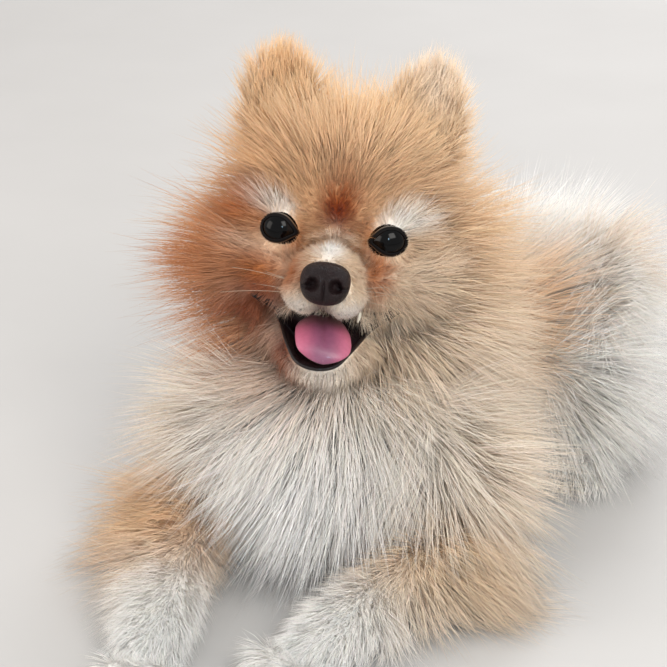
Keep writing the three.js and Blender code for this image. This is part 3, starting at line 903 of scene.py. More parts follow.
    def bare(self, points: Array, normals: Array, skin: Skin) -> Array:
        """Where no coat grows: the eyes, the nose, the mouth and what lies flat on the floor.

        Args:
            points: World points in millimetres.
            normals: The skin's normals there.
            skin: The skin, for its mouth.

        Returns:
            One truth value for each point.
        """
        x, y, z = HEAD.into(points).T
        across, up = self.bare_eye
        eye = np.hypot((np.abs(x) - EYE_SPACING / 2 - 0.3) / across, z / up) < 1.0
        across, up = self.bare_nose
        nose = (np.hypot((x - NOSE[0]) / across, (z - NOSE[2]) / up) < 1.0) & (y < -22.0)
        floor = (points[:, 2] < self.bare_floor) & (normals[:, 2] < -0.5)
        lips = (LIPS.gap(HEAD.into(points)) < self.bare_lip) & (y < 14.0)
        return (eye & (y < 12.0)) | nose | skin.in_mouth(points) | floor | lips

    def roots(self, mesh: bpy.types.Mesh, skin: Skin) -> tuple[Array, Array]:
        """Draws the places where tufts grow, closer where the coat is short.

        Args:
            mesh: The skin's mesh.
            skin: The skin, for its mouth.

        Returns:
            Places in millimetres and normals there.
        """
        rng = np.random.default_rng(self.seed)
        points = mesh_points(mesh)
        mesh.calc_loop_triangles()
        corners = read_back(mesh.loop_triangles, "vertices", 3, np.int32)
        normals = read_back(mesh.vertices, "normal", 3).astype(float)
        a, b, c = (points[corners[:, k]] for k in range(3))
        area = np.linalg.norm(np.cross(b - a, c - a), axis=1) / 2.0
        density = self.plan((a + b + c) / 3.0)["density"]
        share = area * density
        picked = rng.choice(len(corners), self.tufts_wanted, p=share / share.sum())
        u, v = rng.random((2, self.tufts_wanted))
        flip = u + v > 1.0
        u, v = np.where(flip, 1.0 - u, u), np.where(flip, 1.0 - v, v)
        w = 1.0 - u - v
        spots = corners[picked]
        place = sum(points[spots[:, k]] * s[:, None] for k, s in enumerate((w, u, v)))
        facing = unit(sum(normals[spots[:, k]] * s[:, None] for k, s in enumerate((w, u, v))))
        keep = ~self.bare(place, facing, skin)
        log.info("coat: density %.2f tufts a square millimetre at most", density.max())
        return place[keep], facing[keep]

    def curves(self, place: Array, normal: Array) -> tuple[Array, Array, Array, dict[str, Array]]:
        """The three points that bend each tuft: its root, its bend and its tip.

        Args:
            place: Roots in millimetres.
            normal: The skin's normals there.

        Returns:
            Roots, bends, tips and the plan at each root.
        """
        rng = np.random.default_rng(self.seed + 1)
        plan = self.plan(place)
        flow = unit(plan["flow"])
        lie = unit(flow - normal * (flow * normal).sum(axis=1, keepdims=True))
        stray = rng.normal(0.0, self.stray, place.shape)
        under = rng.random(len(place)) < self.undercoat * ramp(14.0, 30.0, plan["length"])
        short, full = rng.uniform(0.42, 0.7, len(place)), rng.uniform(0.66, 1.1, len(place))
        length = plan["length"] * np.where(under, short, full)
        plan["width"] = plan["width"] * np.where(under, self.undercoat_width, 1.0)
        # Blender's noise starts from the clock unless it is seeded.
        noise.seed_set(self.seed)
        drift = np.array([noise.noise_vector(Vector(point * self.drift_grain)) for point in place])
        sway = rng.normal(0.0, self.sway, len(place))
        start, end = (raised(lie, normal, plan[key] + sway) for key in ("root", "tip"))
        first = unit(start + stray + drift * 0.22)
        loose = ramp(12.0, 40.0, plan["length"])[:, None]
        wave = rng.normal(0.0, self.wave, place.shape)
        second = unit(end + stray * 1.4 + drift * 0.5 * loose + wave)
        bend = place + first * (length * 0.5)[:, None]
        tip = bend + second * (length * 0.5)[:, None]
        bend, tip = self.clumped(place, bend, tip, rng)
        fit = self.fitting(place, tip, rng)[:, None]
        bend, tip = place + (bend - place) * fit, place + (tip - place) * fit
        ground = rng.uniform(0.4, 2.6, len(place))
        bend[:, 2] = np.maximum(bend[:, 2], ground)
        tip[:, 2] = np.maximum(tip[:, 2], ground * 0.8)
        return place, bend, tip, plan

    def fitting(self, place: Array, tip: Array, rng: np.random.Generator) -> Array:
        """The share of its length that each tuft keeps, so that none goes far past the solids' box."""
        low, high = (np.array(corner) / MM for corner in self.room)
        low[2] = -1e3
        spare = rng.uniform(-4.0, self.proud, len(place))[:, None]
        wall = np.where(tip > place, high + spare, low - spare)
        travel = np.where(np.abs(tip - place) < 1e-6, 1e-6, tip - place)
        share = (wall - place) / travel
        return np.clip(share.min(axis=1), 0.35, 1.0)

    def clumped(
        self, place: Array, bend: Array, tip: Array, rng: np.random.Generator
    ) -> tuple[Array, Array]:
        """Draws neighbouring tufts together a little, as real ones cling in locks."""
        count = max(1, int(len(place) / (self.clump_spacing**2 * 0.4)))
        chosen = rng.choice(len(place), count, replace=False)
        tree = KDTree(count)
        for number, index in enumerate(chosen):
            tree.insert(place[index], number)
        tree.balance()
        nearest = np.array([chosen[tree.find(point)[1]] for point in place])
        pull = (self.clump_pull * rng.uniform(0.3, 1.0, len(place)))[:, None]
        middle = place[nearest] - place
        return (
            bend + (bend[nearest] - bend - middle * 0.6) * pull * 0.6,
            tip + (tip[nearest] - tip - middle * 0.35) * pull,
        )


def quadratic(root: Array, bend: Array, tip: Array, t: float) -> tuple[Array, Array]:
    """A point of a bent tuft and its direction there, at a share t of its length."""
    point = root * (1 - t) ** 2 + bend * 2 * t * (1 - t) + tip * t**2
    along = (bend - root) * (1 - t) + (tip - bend) * t
    return point, unit(along)


@dataclass
class TuftMesh:
    """Makes tufts into closed tapered meshes of three sides."""

    steps: int
    sides: int = 3

    @property
    def triangles(self) -> int:
        """Triangles in one tuft."""
        return 2 * self.sides * (self.steps - 1) + self.sides + self.sides - 2

    def build(self, name: str, root: Array, bend: Array, tip: Array, width: Array, colour: Array,
              patch: Array, material: bpy.types.Material) -> bpy.types.Object:
        """Joins tufts into one mesh object.

        Args:
            name: The object's name.
            root: Roots in millimetres.
            bend: The bending points.
            tip: The tips.
            width: Widths at the root in millimetres.
            colour: Linear colours at the root, which each tuft carries dimmed near its root as painted shade
                among the strands.
            patch: Where each root lies on the skin's unwrap.
            material: The coat's material.

        Returns:
            The new object.
        """
        count = len(root)
        side_hint = unit(np.cross(tip - root, np.array([0.31, 0.17, 0.93])))
        rings, shades, spots = [], [], []
        for step in range(self.steps):
            t = step / self.steps
            point, along = quadratic(root, bend, tip, t)
            side = unit(np.cross(along, side_hint))
            rise = np.cross(side, along)
            half = (width / 2 * (1.0 - t) ** 0.75 * (1.0 if step else 0.8))[:, None]
            for k in range(self.sides):
                angle = 2 * np.pi * k / self.sides
                rings.append(point + (side * np.cos(angle) + rise * np.sin(angle)) * half)
                # Painted shade: the colour is dimmed to 0.9 at the root and rises towards the tip, for the
                # shade among the crowded strands.
                shades.append(colour * (0.9 + 0.14 * t**0.7))
                spots.append(patch + 0.003 * np.array([k / self.sides - 0.5, t - 0.5]))
        rings.append(tip)
        # The tip ends at 1.04 of the colour, the light end of the same painted shade.
        shades.append(colour * 1.04)
        spots.append(patch + 0.003 * np.array([0.0, 0.5]))
        per = len(rings)
        points = np.stack(rings, axis=1).reshape(-1, 3)
        faces, sizes = self.faces()
        offset = (np.arange(count) * per)[:, None]
        loops = (faces[None, :] + offset).ravel()
        mesh = bpy.data.meshes.new(name)
        mesh.vertices.add(len(points))
        mesh.vertices.foreach_set("co", (points * MM).astype(np.float32).ravel())
        mesh.loops.add(len(loops))
        mesh.loops.foreach_set("vertex_index", loops.astype(np.int32))
        all_sizes = np.tile(sizes, count)
        starts = np.concatenate([[0], np.cumsum(all_sizes)[:-1]])
        mesh.polygons.add(len(all_sizes))
        mesh.polygons.foreach_set("loop_start", starts.astype(np.int32))
        mesh.update(calc_edges=True)
        mesh.shade_smooth()
        unwrap = mesh.uv_layers.new(name="OFBake")
        flat = np.stack(spots, axis=1).reshape(-1, 2)[loops]
        unwrap.data.foreach_set("uv", np.clip(flat, 0.0, 1.0).astype(np.float32).ravel())
        colour_attribute(mesh, np.stack(shades, axis=1).reshape(-1, 3))
        mesh.materials.append(material)
        made = bpy.data.objects.new(name, mesh)
        bpy.context.collection.objects.link(made)
        return made

    def faces(self) -> tuple[Array, Array]:
        """Corner indices of one tuft's faces, end to end, and how many corners each has."""
        n, found = self.sides, []
        found += ring_faces(n, self.steps)
        last = (self.steps - 1) * n
        found += [[last + k, last + (k + 1) % n, self.steps * n] for k in range(n)]
        found.append(list(range(n))[::-1])
        return np.concatenate([np.array(f) for f in found]), np.array([len(f) for f in found])


@dataclass
class Unwrap:
    """Lays the skin out flat, each limb rolled open on a tile of its own."""

    tiles: int = 5

    def place(self, points: Array, limbs: Sequence[Limb]) -> Array:
        """Where points of the skin lie on the flat layout.

        Args:
            points: World points in millimetres.
            limbs: The limbs, one tile each.

        Returns:
            Flat places from 0 to 1, one row each.
        """
        best = np.full(len(points), 1e9)
        flat = np.zeros((len(points), 2))
        for number, limb in enumerate(limbs):
            gap, where = limb.reach(points)
            offset = points - limb.centres[where]
            across, up, ahead = (
                (offset * axis[where]).sum(axis=1) for axis in (limb.sides, limb.rises, limb.tangents)
            )
            angle = np.arctan2(up, across)
            slide = ahead / np.linalg.norm(limb.centres[-1] - limb.centres[0])
            share = (where / (limb.steps - 1) + slide + 0.25) / 1.5
            spot = np.column_stack([angle / (2 * np.pi) + 0.5, np.clip(share, 0.0, 1.0)]) * 0.94 + 0.03
            spot = (spot + [number % self.tiles, number // self.tiles]) / self.tiles
            nearer = gap < best
            best[nearer] = gap[nearer]
            flat[nearer] = spot[nearer]
        return flat


class Shade:
    """A node socket that can be added, multiplied and mixed as a number."""

    def __init__(self, tree: "Tree", socket: Any) -> None:
        """Keeps the tree and the socket."""
        self.tree = tree
        self.socket = socket

    def _math(self, operation: str, first: Any, second: Any) -> "Shade":
        """Adds a Math node for an operation on two values."""
        return self.tree.node("ShaderNodeMath", {"operation": operation}, {0: first, 1: second})

    def __add__(self, other: Any) -> "Shade":
        """The sum."""
        return self._math("ADD", self, other)

    def __mul__(self, other: Any) -> "Shade":
        """The product."""
        return self._math("MULTIPLY", self, other)

    def __rsub__(self, other: Any) -> "Shade":
        """Another value less this one."""
        return self._math("SUBTRACT", other, self)

    __radd__ = __add__
    __rmul__ = __mul__


class Tree:
    """A material's node tree, built one node at a time."""

    def __init__(self, name: str) -> None:
        """Starts a material with one Principled shader."""
        self.material = bpy.data.materials.new(name)
        self.material.use_nodes = True
        self.nodes = self.material.node_tree.nodes
        self.links = self.material.node_tree.links
        self.shader = self.nodes["Principled BSDF"]

    def node(self, kind: str, settings: dict[str, Any], values: dict[Any, Any], output: Any = 0) -> Shade:
        """Adds a node.

        Args:
            kind: The node's type.
            settings: Attributes set before its sockets.
            values: Values or links of its input sockets.
            output: The output socket that is returned.

        Returns:
            The output, ready for more maths.
        """
        made = self.nodes.new(kind)
        for key, value in settings.items():
            if key == "stops":
                self.stops(made.color_ramp, value)
            else:
                setattr(made, key, value)
        for key, value in values.items():
            self.feed(made.inputs[key], value)
        return Shade(self, made.outputs[output])

    def stops(self, colour_ramp: Any, stops: Sequence[tuple[float, Sequence[float]]]) -> None:
        """Sets a colour ramp's stops."""
        while len(colour_ramp.elements) < len(stops):
            colour_ramp.elements.new(0.5)
        for element, (place, colour) in zip(colour_ramp.elements, stops):
            element.position = place
            element.color = (*colour, 1.0)

    def feed(self, socket: Any, value: Any) -> None:
        """Sets or links an input socket."""
        if isinstance(value, Shade):
            self.links.new(value.socket, socket)
        else:
            socket.default_value = value

    def set(self, **inputs: Any) -> bpy.types.Material:
        """Feeds the shader's sockets, with _ for a space in a name, and returns the material."""
        for key, value in inputs.items():
            self.feed(self.shader.inputs[key.replace("_", " ")], value)
        return self.material

    def object_place(self) -> Shade:
        """The point's place in the object, in metres."""
        return self.node("ShaderNodeTexCoord", {}, {}, "Object")

    def noise(self, scale: float, detail: float = 3.0, output: str = "Fac") -> Shade:
        """Noise of a scale in repeats a metre."""
        values = {"Vector": self.object_place(), "Scale": scale, "Detail": detail}
        return self.node("ShaderNodeTexNoise", {}, values, output)

    def grains(self, scale: float) -> Shade:
        """Rounded grains of a scale in repeats a metre, high in their middles."""
        values = {"Vector": self.object_place(), "Scale": scale}
        return 1.0 - self.node("ShaderNodeTexVoronoi", {}, values, "Distance")

    def carried(self, tone: Shade) -> Shade:
        """The colours that the mesh carries, made lighter or darker by a tone."""
        colour = self.node("ShaderNodeVertexColor", {"layer_name": "Coat"}, {}, "Color")
        return self.node("ShaderNodeVectorMath", {"operation": "SCALE"}, {0: colour, "Scale": tone})

    def bump(self, height: Shade, strength: float, distance: float) -> Shade:
        """A bump from a height."""
        values = {"Height": height, "Strength": strength, "Distance": distance}
        return self.node("ShaderNodeBump", {}, values)

    def tint(self, first: Any, second: Any, share: Any) -> Shade:
        """A mix of two colours."""
        return self.node("ShaderNodeMix", {"data_type": "RGBA"}, {0: share, 6: first, 7: second}, 2)


@dataclass(frozen=True)
class CoatFinish:
    """Hair: matt with a soft sheen, in the markings' colours."""

    roughness: float = 0.62

    def material(self) -> bpy.types.Material:
        """The coat's material."""
        tree = Tree("coat")
        tree.set(Sheen_Weight=0.08, Sheen_Roughness=0.5, Specular_IOR_Level=0.16)
        shaded = tree.carried(tree.noise(90.0) * 0.3 + 0.85)
        return tree.set(Base_Color=shaded, Roughness=self.roughness)


@dataclass(frozen=True)
class SkinFinish:
    """Bare skin in the colours that its mesh carries, dimmed to about 0.8 of them as painted shade, the shade
    at the coat's base.
    """

    name: str = "skin"
    # Share of the carried colour kept: below 1 it is painted shade, on the lids as well.
    shade: float = 0.8
    roughness: float = 0.8

    def material(self) -> bpy.types.Material:
        """The skin's material."""
        tree = Tree(self.name)
        # Painted shade: the carried colours are dimmed by the shade factor, with a little random tone.
        shaded = tree.carried(tree.noise(700.0) * 0.25 + (self.shade - 0.1))
        relief = tree.bump(tree.noise(2500.0), 0.4, 0.0006)
        tree.set(Specular_IOR_Level=0.12, Roughness=self.roughness)
        return tree.set(Base_Color=shaded, Normal=relief)


@dataclass(frozen=True)
class WetFinish:
    """A moist bare surface, such as a nose, lip, tongue or mouth lining."""

    name: str
    dark: tuple[int, int, int]
    light: tuple[int, int, int]
    grain: float
    bump: float
    roughness: float
    coat: float
    specular: float = 0.3

    def material(self) -> bpy.types.Material:
        """The surface's material."""
        tree = Tree(self.name)
        tree.set(Coat_Weight=self.coat, Coat_Roughness=0.12, Specular_IOR_Level=self.specular)
        relief = tree.bump(tree.grains(self.grain), self.bump, 0.0004)
        colour = tree.tint((*linear(*self.dark), 1.0), (*linear(*self.light), 1.0), tree.noise(260.0))
        rough = tree.noise(1200.0) * 0.2 + (self.roughness - 0.1)
        return tree.set(Base_Color=colour, Roughness=rough, Normal=relief)


@dataclass(frozen=True)
class TongueFinish:
    """A moist tongue with fine bumps, in the colours that its mesh carries."""

    grain: float = 2600.0

    def material(self) -> bpy.types.Material:
        """The tongue's material."""
        tree = Tree("tongue")
        tree.set(Coat_Weight=0.25, Coat_Roughness=0.2, Roughness=0.45)
        shaded = tree.carried(tree.noise(500.0) * 0.3 + 0.85)
        relief = tree.bump(tree.grains(self.grain), 0.35, 0.0003)
        return tree.set(Base_Color=shaded, Normal=relief)


@dataclass(frozen=True)
class EyeFinish:
    """A dark brown eye under a clear, wet front."""

    def material(self) -> bpy.types.Material:
        """The eye's material, darkest at the pupil, read from the eye's own attribute."""
        tree = Tree("eye")
        tree.set(Coat_Weight=0.14, Coat_Roughness=0.02, Specular_IOR_Level=0.08)
        share = tree.node("ShaderNodeAttribute", {"attribute_name": "Iris"}, {}, "Fac")
        stops = [
            (0.0, linear(2, 2, 3)), (0.5, linear(3, 3, 4)), (0.58, linear(20, 12, 8)),
            (0.8, linear(16, 10, 7)), (0.92, linear(8, 6, 6)), (1.0, linear(26, 20, 19)),
        ]
        colour = tree.node("ShaderNodeValToRGB", {"stops": stops}, {"Fac": share})
        return tree.set(Base_Color=colour, Roughness=0.12)


@dataclass(frozen=True)
class HardFinish:
    """A claw or tooth: smooth, with a faint streak."""

    name: str
    dark: tuple[int, int, int]
    light: tuple[int, int, int]

    def material(self) -> bpy.types.Material:
        """The surface's material."""
        tree = Tree(self.name)
        colour = tree.tint((*linear(*self.dark), 1.0), (*linear(*self.light), 1.0), tree.noise(900.0))
        return tree.set(Base_Color=colour, Roughness=0.35, Normal=tree.bump(tree.noise(3000.0), 0.2, 0.0002))


def dress(piece: bpy.types.Object, finish: Finish, *nodes: str, material: Any = None) -> None:
    """Sets a piece on the body, with its material and the nodes that it stands for."""
    if material:
        piece.data.materials.append(material)
    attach(piece, BODY)
    if nodes:
        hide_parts(*nodes)
    log.info("%s: %d faces", piece.name, len(piece.data.polygons))


@dataclass
class Eyes:
    """Two dark, glossy eyes with dark lids, set where the frame has them."""

    opening: tuple[float, float] = (6.1, 4.8)
    corner: float = 1.5
    lid_reach: float = 0.85
    lid_thickness: float = 0.3
    outward: float = 14.0
    depth: float = 7.6

    def build(self) -> None:
        """Makes both eyes and their lids."""
        ball_finish = EyeFinish().material()
        rim_finish = SkinFinish("lid", 0.8, 0.6).material()
        for side in Side:
            low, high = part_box(f"eye_{side.word}")
            radius = float(min(np.array(high) - np.array(low))) / 2 / MM
            ball = self.ball(side, radius)
            dress(ball, Finish.EYE, f"eye_{side.word}", material=ball_finish)
            dress(self.lids(side, radius), Finish.NOSE, material=rim_finish)

    def gaze(self, side: Side) -> Array:
        """The eye's own axes in the head's frame: across, forwards and up."""
        turn = np.radians(self.outward) * side.value
        return np.array([
            [np.cos(turn), np.sin(turn), 0.0],
            [np.sin(turn), -np.cos(turn), 0.0],
            [0.0, 0.0, 1.0],
        ])

    def centre(self, side: Side) -> Array:
        """The eyeball's middle in the head's frame."""
        return np.array([side.value * EYE_SPACING / 2, self.depth, 0.0])

    def ball(self, side: Side, radius: float) -> bpy.types.Object:
        """An eyeball with a slightly raised clear front, and how far each point is from its pupil."""
        around, along = 48, 34
        ball = unit_ball(around, along)[:, [0, 2, 1]]
        angle = np.degrees(np.arccos(np.clip(ball[:, 1], -1, 1)))
        swell = 1.0 + 0.05 * (1.0 - ramp(20.0, 42.0, angle))
        local = ball * (radius * swell)[:, None]
        points = HEAD.out(local @ self.gaze(side) + self.centre(side))
        made = mesh_object(f"eyeball_{side.word}", points, tube_faces(around, along))
        iris = made.data.attributes.new("Iris", "FLOAT", "POINT")
        iris.data.foreach_set("value", np.clip(angle / 60.0, 0.0, 1.0).astype(np.float32))
        return made

    def lids(self, side: Side, radius: float) -> bpy.types.Object:
        """Both lids of an eye: an almond rim on the eyeball, dark inside, in the coat's hue outside."""
        steps, around = 84, 14
        t = turns(steps)
        point = np.maximum(-side.value * np.cos(t), 0.0) ** 8
        edge = np.stack([
            np.cos(t) * (self.opening[0] + self.corner * point),
            np.sin(t) * self.opening[1] * (1.0 - 0.1 * point) - 0.9 * point,
        ], axis=1)
        away = unit(edge)
        flat = edge + away * self.lid_reach
        shell = radius + 0.35
        rings, shades = [], []
        for angle in turns(around):
            spot = flat + away * np.cos(angle) * self.lid_reach
            forward = np.sqrt(np.maximum(shell**2 - (spot**2).sum(axis=1), 1.0))
            place = np.column_stack([spot[:, 0], forward, spot[:, 1]])
            rings.append(place + unit(place) * np.sin(angle) * self.lid_thickness)
            shades.append(np.full(steps, ramp(0.3, 1.0, np.cos(angle))))
        points = HEAD.out(np.stack(rings, axis=1).reshape(-1, 3) @ self.gaze(side) + self.centre(side))
        share = np.stack(shades, axis=1).reshape(-1)[:, None]
        made = closed_object(f"lids_{side.word}", points, ring_faces(around, steps, closed=True))
        colour_attribute(made.data, mix(linear(13, 8, 8), MARKINGS.colour(points) * 0.3, share))
        return made


@dataclass
class Nose:
    """The nose leather with its nostrils and the groove between them."""

    half: Triple = (10.2, 8.0, 8.8)
    widening: float = 0.07
    hole_depth: float = 4.6
    slit_depth: float = 2.2
    groove_depth: float = 0.9
    rim_height: float = 0.5

    @staticmethod
    def spot(across: Array, up: Array, centre: Any, half: Any, edge: float) -> Array:
        """An oval that is 1 in its middle and fades to 0, faster for a higher edge."""
        away = ((across - centre[0]) / half[0]) ** 2 + ((up - centre[1]) / half[1]) ** 2
        return np.exp(-(away**edge))

    def build(self) -> None:
        """Makes the nose from a ball, drawn in at the nostrils and the groove."""
        around, along = 110, 80
        ball = unit_ball(around, along)[:, [0, 2, 1]] * np.array([1.0, -1.0, 1.0])
        x, y, z = ball.T
        bulk = (np.abs(x) ** 3 + np.abs(y) ** 3 + np.abs(z) ** 3) ** (1 / 3)
        square = 1.0 / np.maximum(bulk, 1e-6) * 0.5 + 0.5
        place = ball * square[:, None] * np.array(self.half)
        place[:, 0] *= 1.0 + self.widening * z
        front = ramp(0.1, 0.7, -y)
        out, up = np.abs(place[:, 0]), place[:, 2]
        hole = self.spot(out, up, (4.7, -0.4), (2.3, 2.5), 1.6)
        slit = self.spot(out, up - 0.1 * out, (7.6, -2.2), (2.6, 1.0), 1.3)
        groove = np.exp(-((out / 0.55) ** 2)) * (1.0 - ramp(-1.0, 3.5, up))
        rim = self.spot(out, up, (4.9, 0.2), (3.7, 4.0), 3.0)
        depth = self.hole_depth * hole + self.slit_depth * slit + self.groove_depth * groove
        place[:, 1] += front * (depth - self.rim_height * rim)
        points = HEAD.out(place + np.array(NOSE))
        made = closed_object("nose_leather", points, tube_faces(around, along))
        leather = WetFinish("nose_leather", (8, 4, 4), (36, 19, 20), 1900.0, 1.0, 0.42, 0.06, 0.18)
        dress(made, Finish.NOSE, "nose", material=leather.material())


@dataclass
class Mouth:
    """The dark lips, the tongue and the tooth that shows."""

    upper_radius: float = 1.0
    lower_radius: float = 0.9
    middle_height: float = -41.0
    margin: float = 0.45
    smoothing: int = 6

    def build(self, skin: bpy.types.Object) -> None:
        """Makes the lips on the skin's edge, then the tongue and the tooth."""
        wet = WetFinish("lip", (12, 7, 8), (32, 19, 19), 2400.0, 0.4, 0.45, 0.15).material()
        tree = BVHTree.FromObject(skin, bpy.context.evaluated_depsgraph_get())
        for name, half, radius in (
            ("upper_lip", LIPS.upper, self.upper_radius),
            ("lower_lip", LIPS.lower, self.lower_radius),
        ):
            dress(self.tube(name, self.edge(tree, half), radius), Finish.NOSE, material=wet)
        self.tongue()
        self.tooth()

    def edge(self, tree: BVHTree, half: Sequence[Triple]) -> Array:
        """Finds a lip's edge on the skin by looking straight back at it from in front.

        Args:
            tree: The skin's faces.
            half: The lip's curve on the dog's left, from the corner to the middle.

        Returns:
            Points along the whole lip, in the world.
        """
        mirrored = [(-x, y, z) for x, y, z in half[:-1]]
        curve = smooth_path(np.array([*half, *reversed(mirrored)], float), 90)
        outward = unit((curve - np.array([0.0, 0.0, self.middle_height])) * np.array([1.0, 0.0, 1.0]))
        curve = curve + outward * self.margin
        look = Vector(HEAD.aim((0.0, 1.0, 0.0)))
        for index, spot in enumerate(curve):
            start = Vector(HEAD.out((spot[0], -100.0, spot[2])) * MM)
            hit = tree.ray_cast(start, look)[0]
            if hit is not None:
                curve[index, 1] = HEAD.into(np.array(hit) / MM)[1]
        for _ in range(self.smoothing):
            curve[1:-1, 1] = (curve[:-2, 1] + 2.0 * curve[1:-1, 1] + curve[2:, 1]) / 4.0
        return HEAD.out(curve)

    def tube(self, name: str, middle: Array, radius: float, around: int = 12) -> bpy.types.Object:
        """A tube along points that thins towards both ends."""
        count = len(middle)
        share = np.linspace(0.0, 1.0, count)
        size = radius * (0.55 + 0.45 * np.sin(np.pi * share) ** 0.6)
        along = unit(np.gradient(middle, axis=0))
        side = unit(np.cross(along, HEAD.aim((0, 0, 1))))
        rise = np.cross(side, along)
        rings = [
            middle + (side * np.cos(a) + rise * np.sin(a)) * size[:, None]
            for a in turns(around)
        ]
        points = np.vstack([np.stack(rings, axis=1).reshape(-1, 3), middle[:1], middle[-1:]])
        return closed_object(name, points, tube_faces(around, count))

    def tongue(self) -> None:
        """A broad tongue with a groove down its middle, lying on the lower lip."""
        path = [(0, 19, -37), (0, -5, -38), (1.6, -18, -40.5), (3.0, -26, -45.5), (3.2, -29, -51.0)]
        halves = [(8, 3.2), (10.5, 3.2), (11.6, 2.8), (11.0, 2.4), (7.4, 1.8)]
        limb = head_limb("tongue", path, halves, (0, 0, 1), blunt=4.0, steps=64)
        points, faces = limb.mesh(around=64)
        local = HEAD.into(points)
        centre = np.interp(-local[:, 1], [-10, 5, 18, 26, 29], [0, 0, 1.6, 3.0, 3.2])
        off = local[:, 0] - centre
        groove = np.exp(-((off / 1.3) ** 2)) * 0.9 * ramp(-31.0, -22.0, local[:, 1])
        dome = -0.5 * (off / 10.0) ** 2
        local[:, 2] += dome - groove
        made = closed_object("tongue_flesh", HEAD.out(local), faces)
        # Painted shade: the tongue's colour darkens towards the back of the mouth.
        painted_mouth_shade = ramp(-22.0, -2.0, local[:, 1])[:, None]
        edge = ramp(0.15, 1.0, np.abs(off) / 10.5)[:, None]
        colours = mix(mix(linear(122, 66, 92), linear(176, 88, 114), edge), linear(96, 44, 58), painted_mouth_shade)
        colour_attribute(made.data, mix(colours, linear(120, 62, 86), 0.7 * groove[:, None]))
        dress(made, Finish.TONGUE, "tongue", material=TongueFinish().material())

    def tooth(self) -> None:
        """The tip of the upper left canine, beside the tongue."""
        path = [(15.4, -12.0, -29.5), (15.2, -12.8, -32.2), (14.9, -13.1, -34.4)]
        limb = head_limb("tooth", path, [(0.9, 1.1), (0.75, 0.9), (0.35, 0.35)], (0, -1, 0), steps=16)
        made = closed_object("canine_left", *limb.mesh(around=18))
        enamel = HardFinish("enamel", (176, 166, 146), (204, 196, 180))
        dress(made, Finish.WHITE, material=enamel.material())


@dataclass
class Claws:
    """Short dark claws at the toes' ends."""

    length: float = 7.0
    sunk: float = 1.5
    sizes: Sequence[tuple[float, float]] = ((1.3, 1.7), (1.1, 1.4), (0.4, 0.5))

    def build(self) -> None:
        """Makes all the claws as one piece."""
        claws = []
        for toe in ANATOMY.toes():
            start, ahead = toe.centres[-1], toe.tangents[-1]
            ahead = unit(ahead * np.array([1.0, 1.0, 0.4]))
            root = start - ahead * self.sunk
            path = [root, root + ahead * 3.2 + UP * 0.2, root + ahead * self.length - UP * 1.4]
            claws.append(Limb("claw", path, self.sizes, steps=10).mesh(around=10))
        horn = HardFinish("claw", (48, 38, 34), (92, 76, 66))
        dress(closed_object("claws", *joined(claws)), Finish.NOSE, material=horn.material())


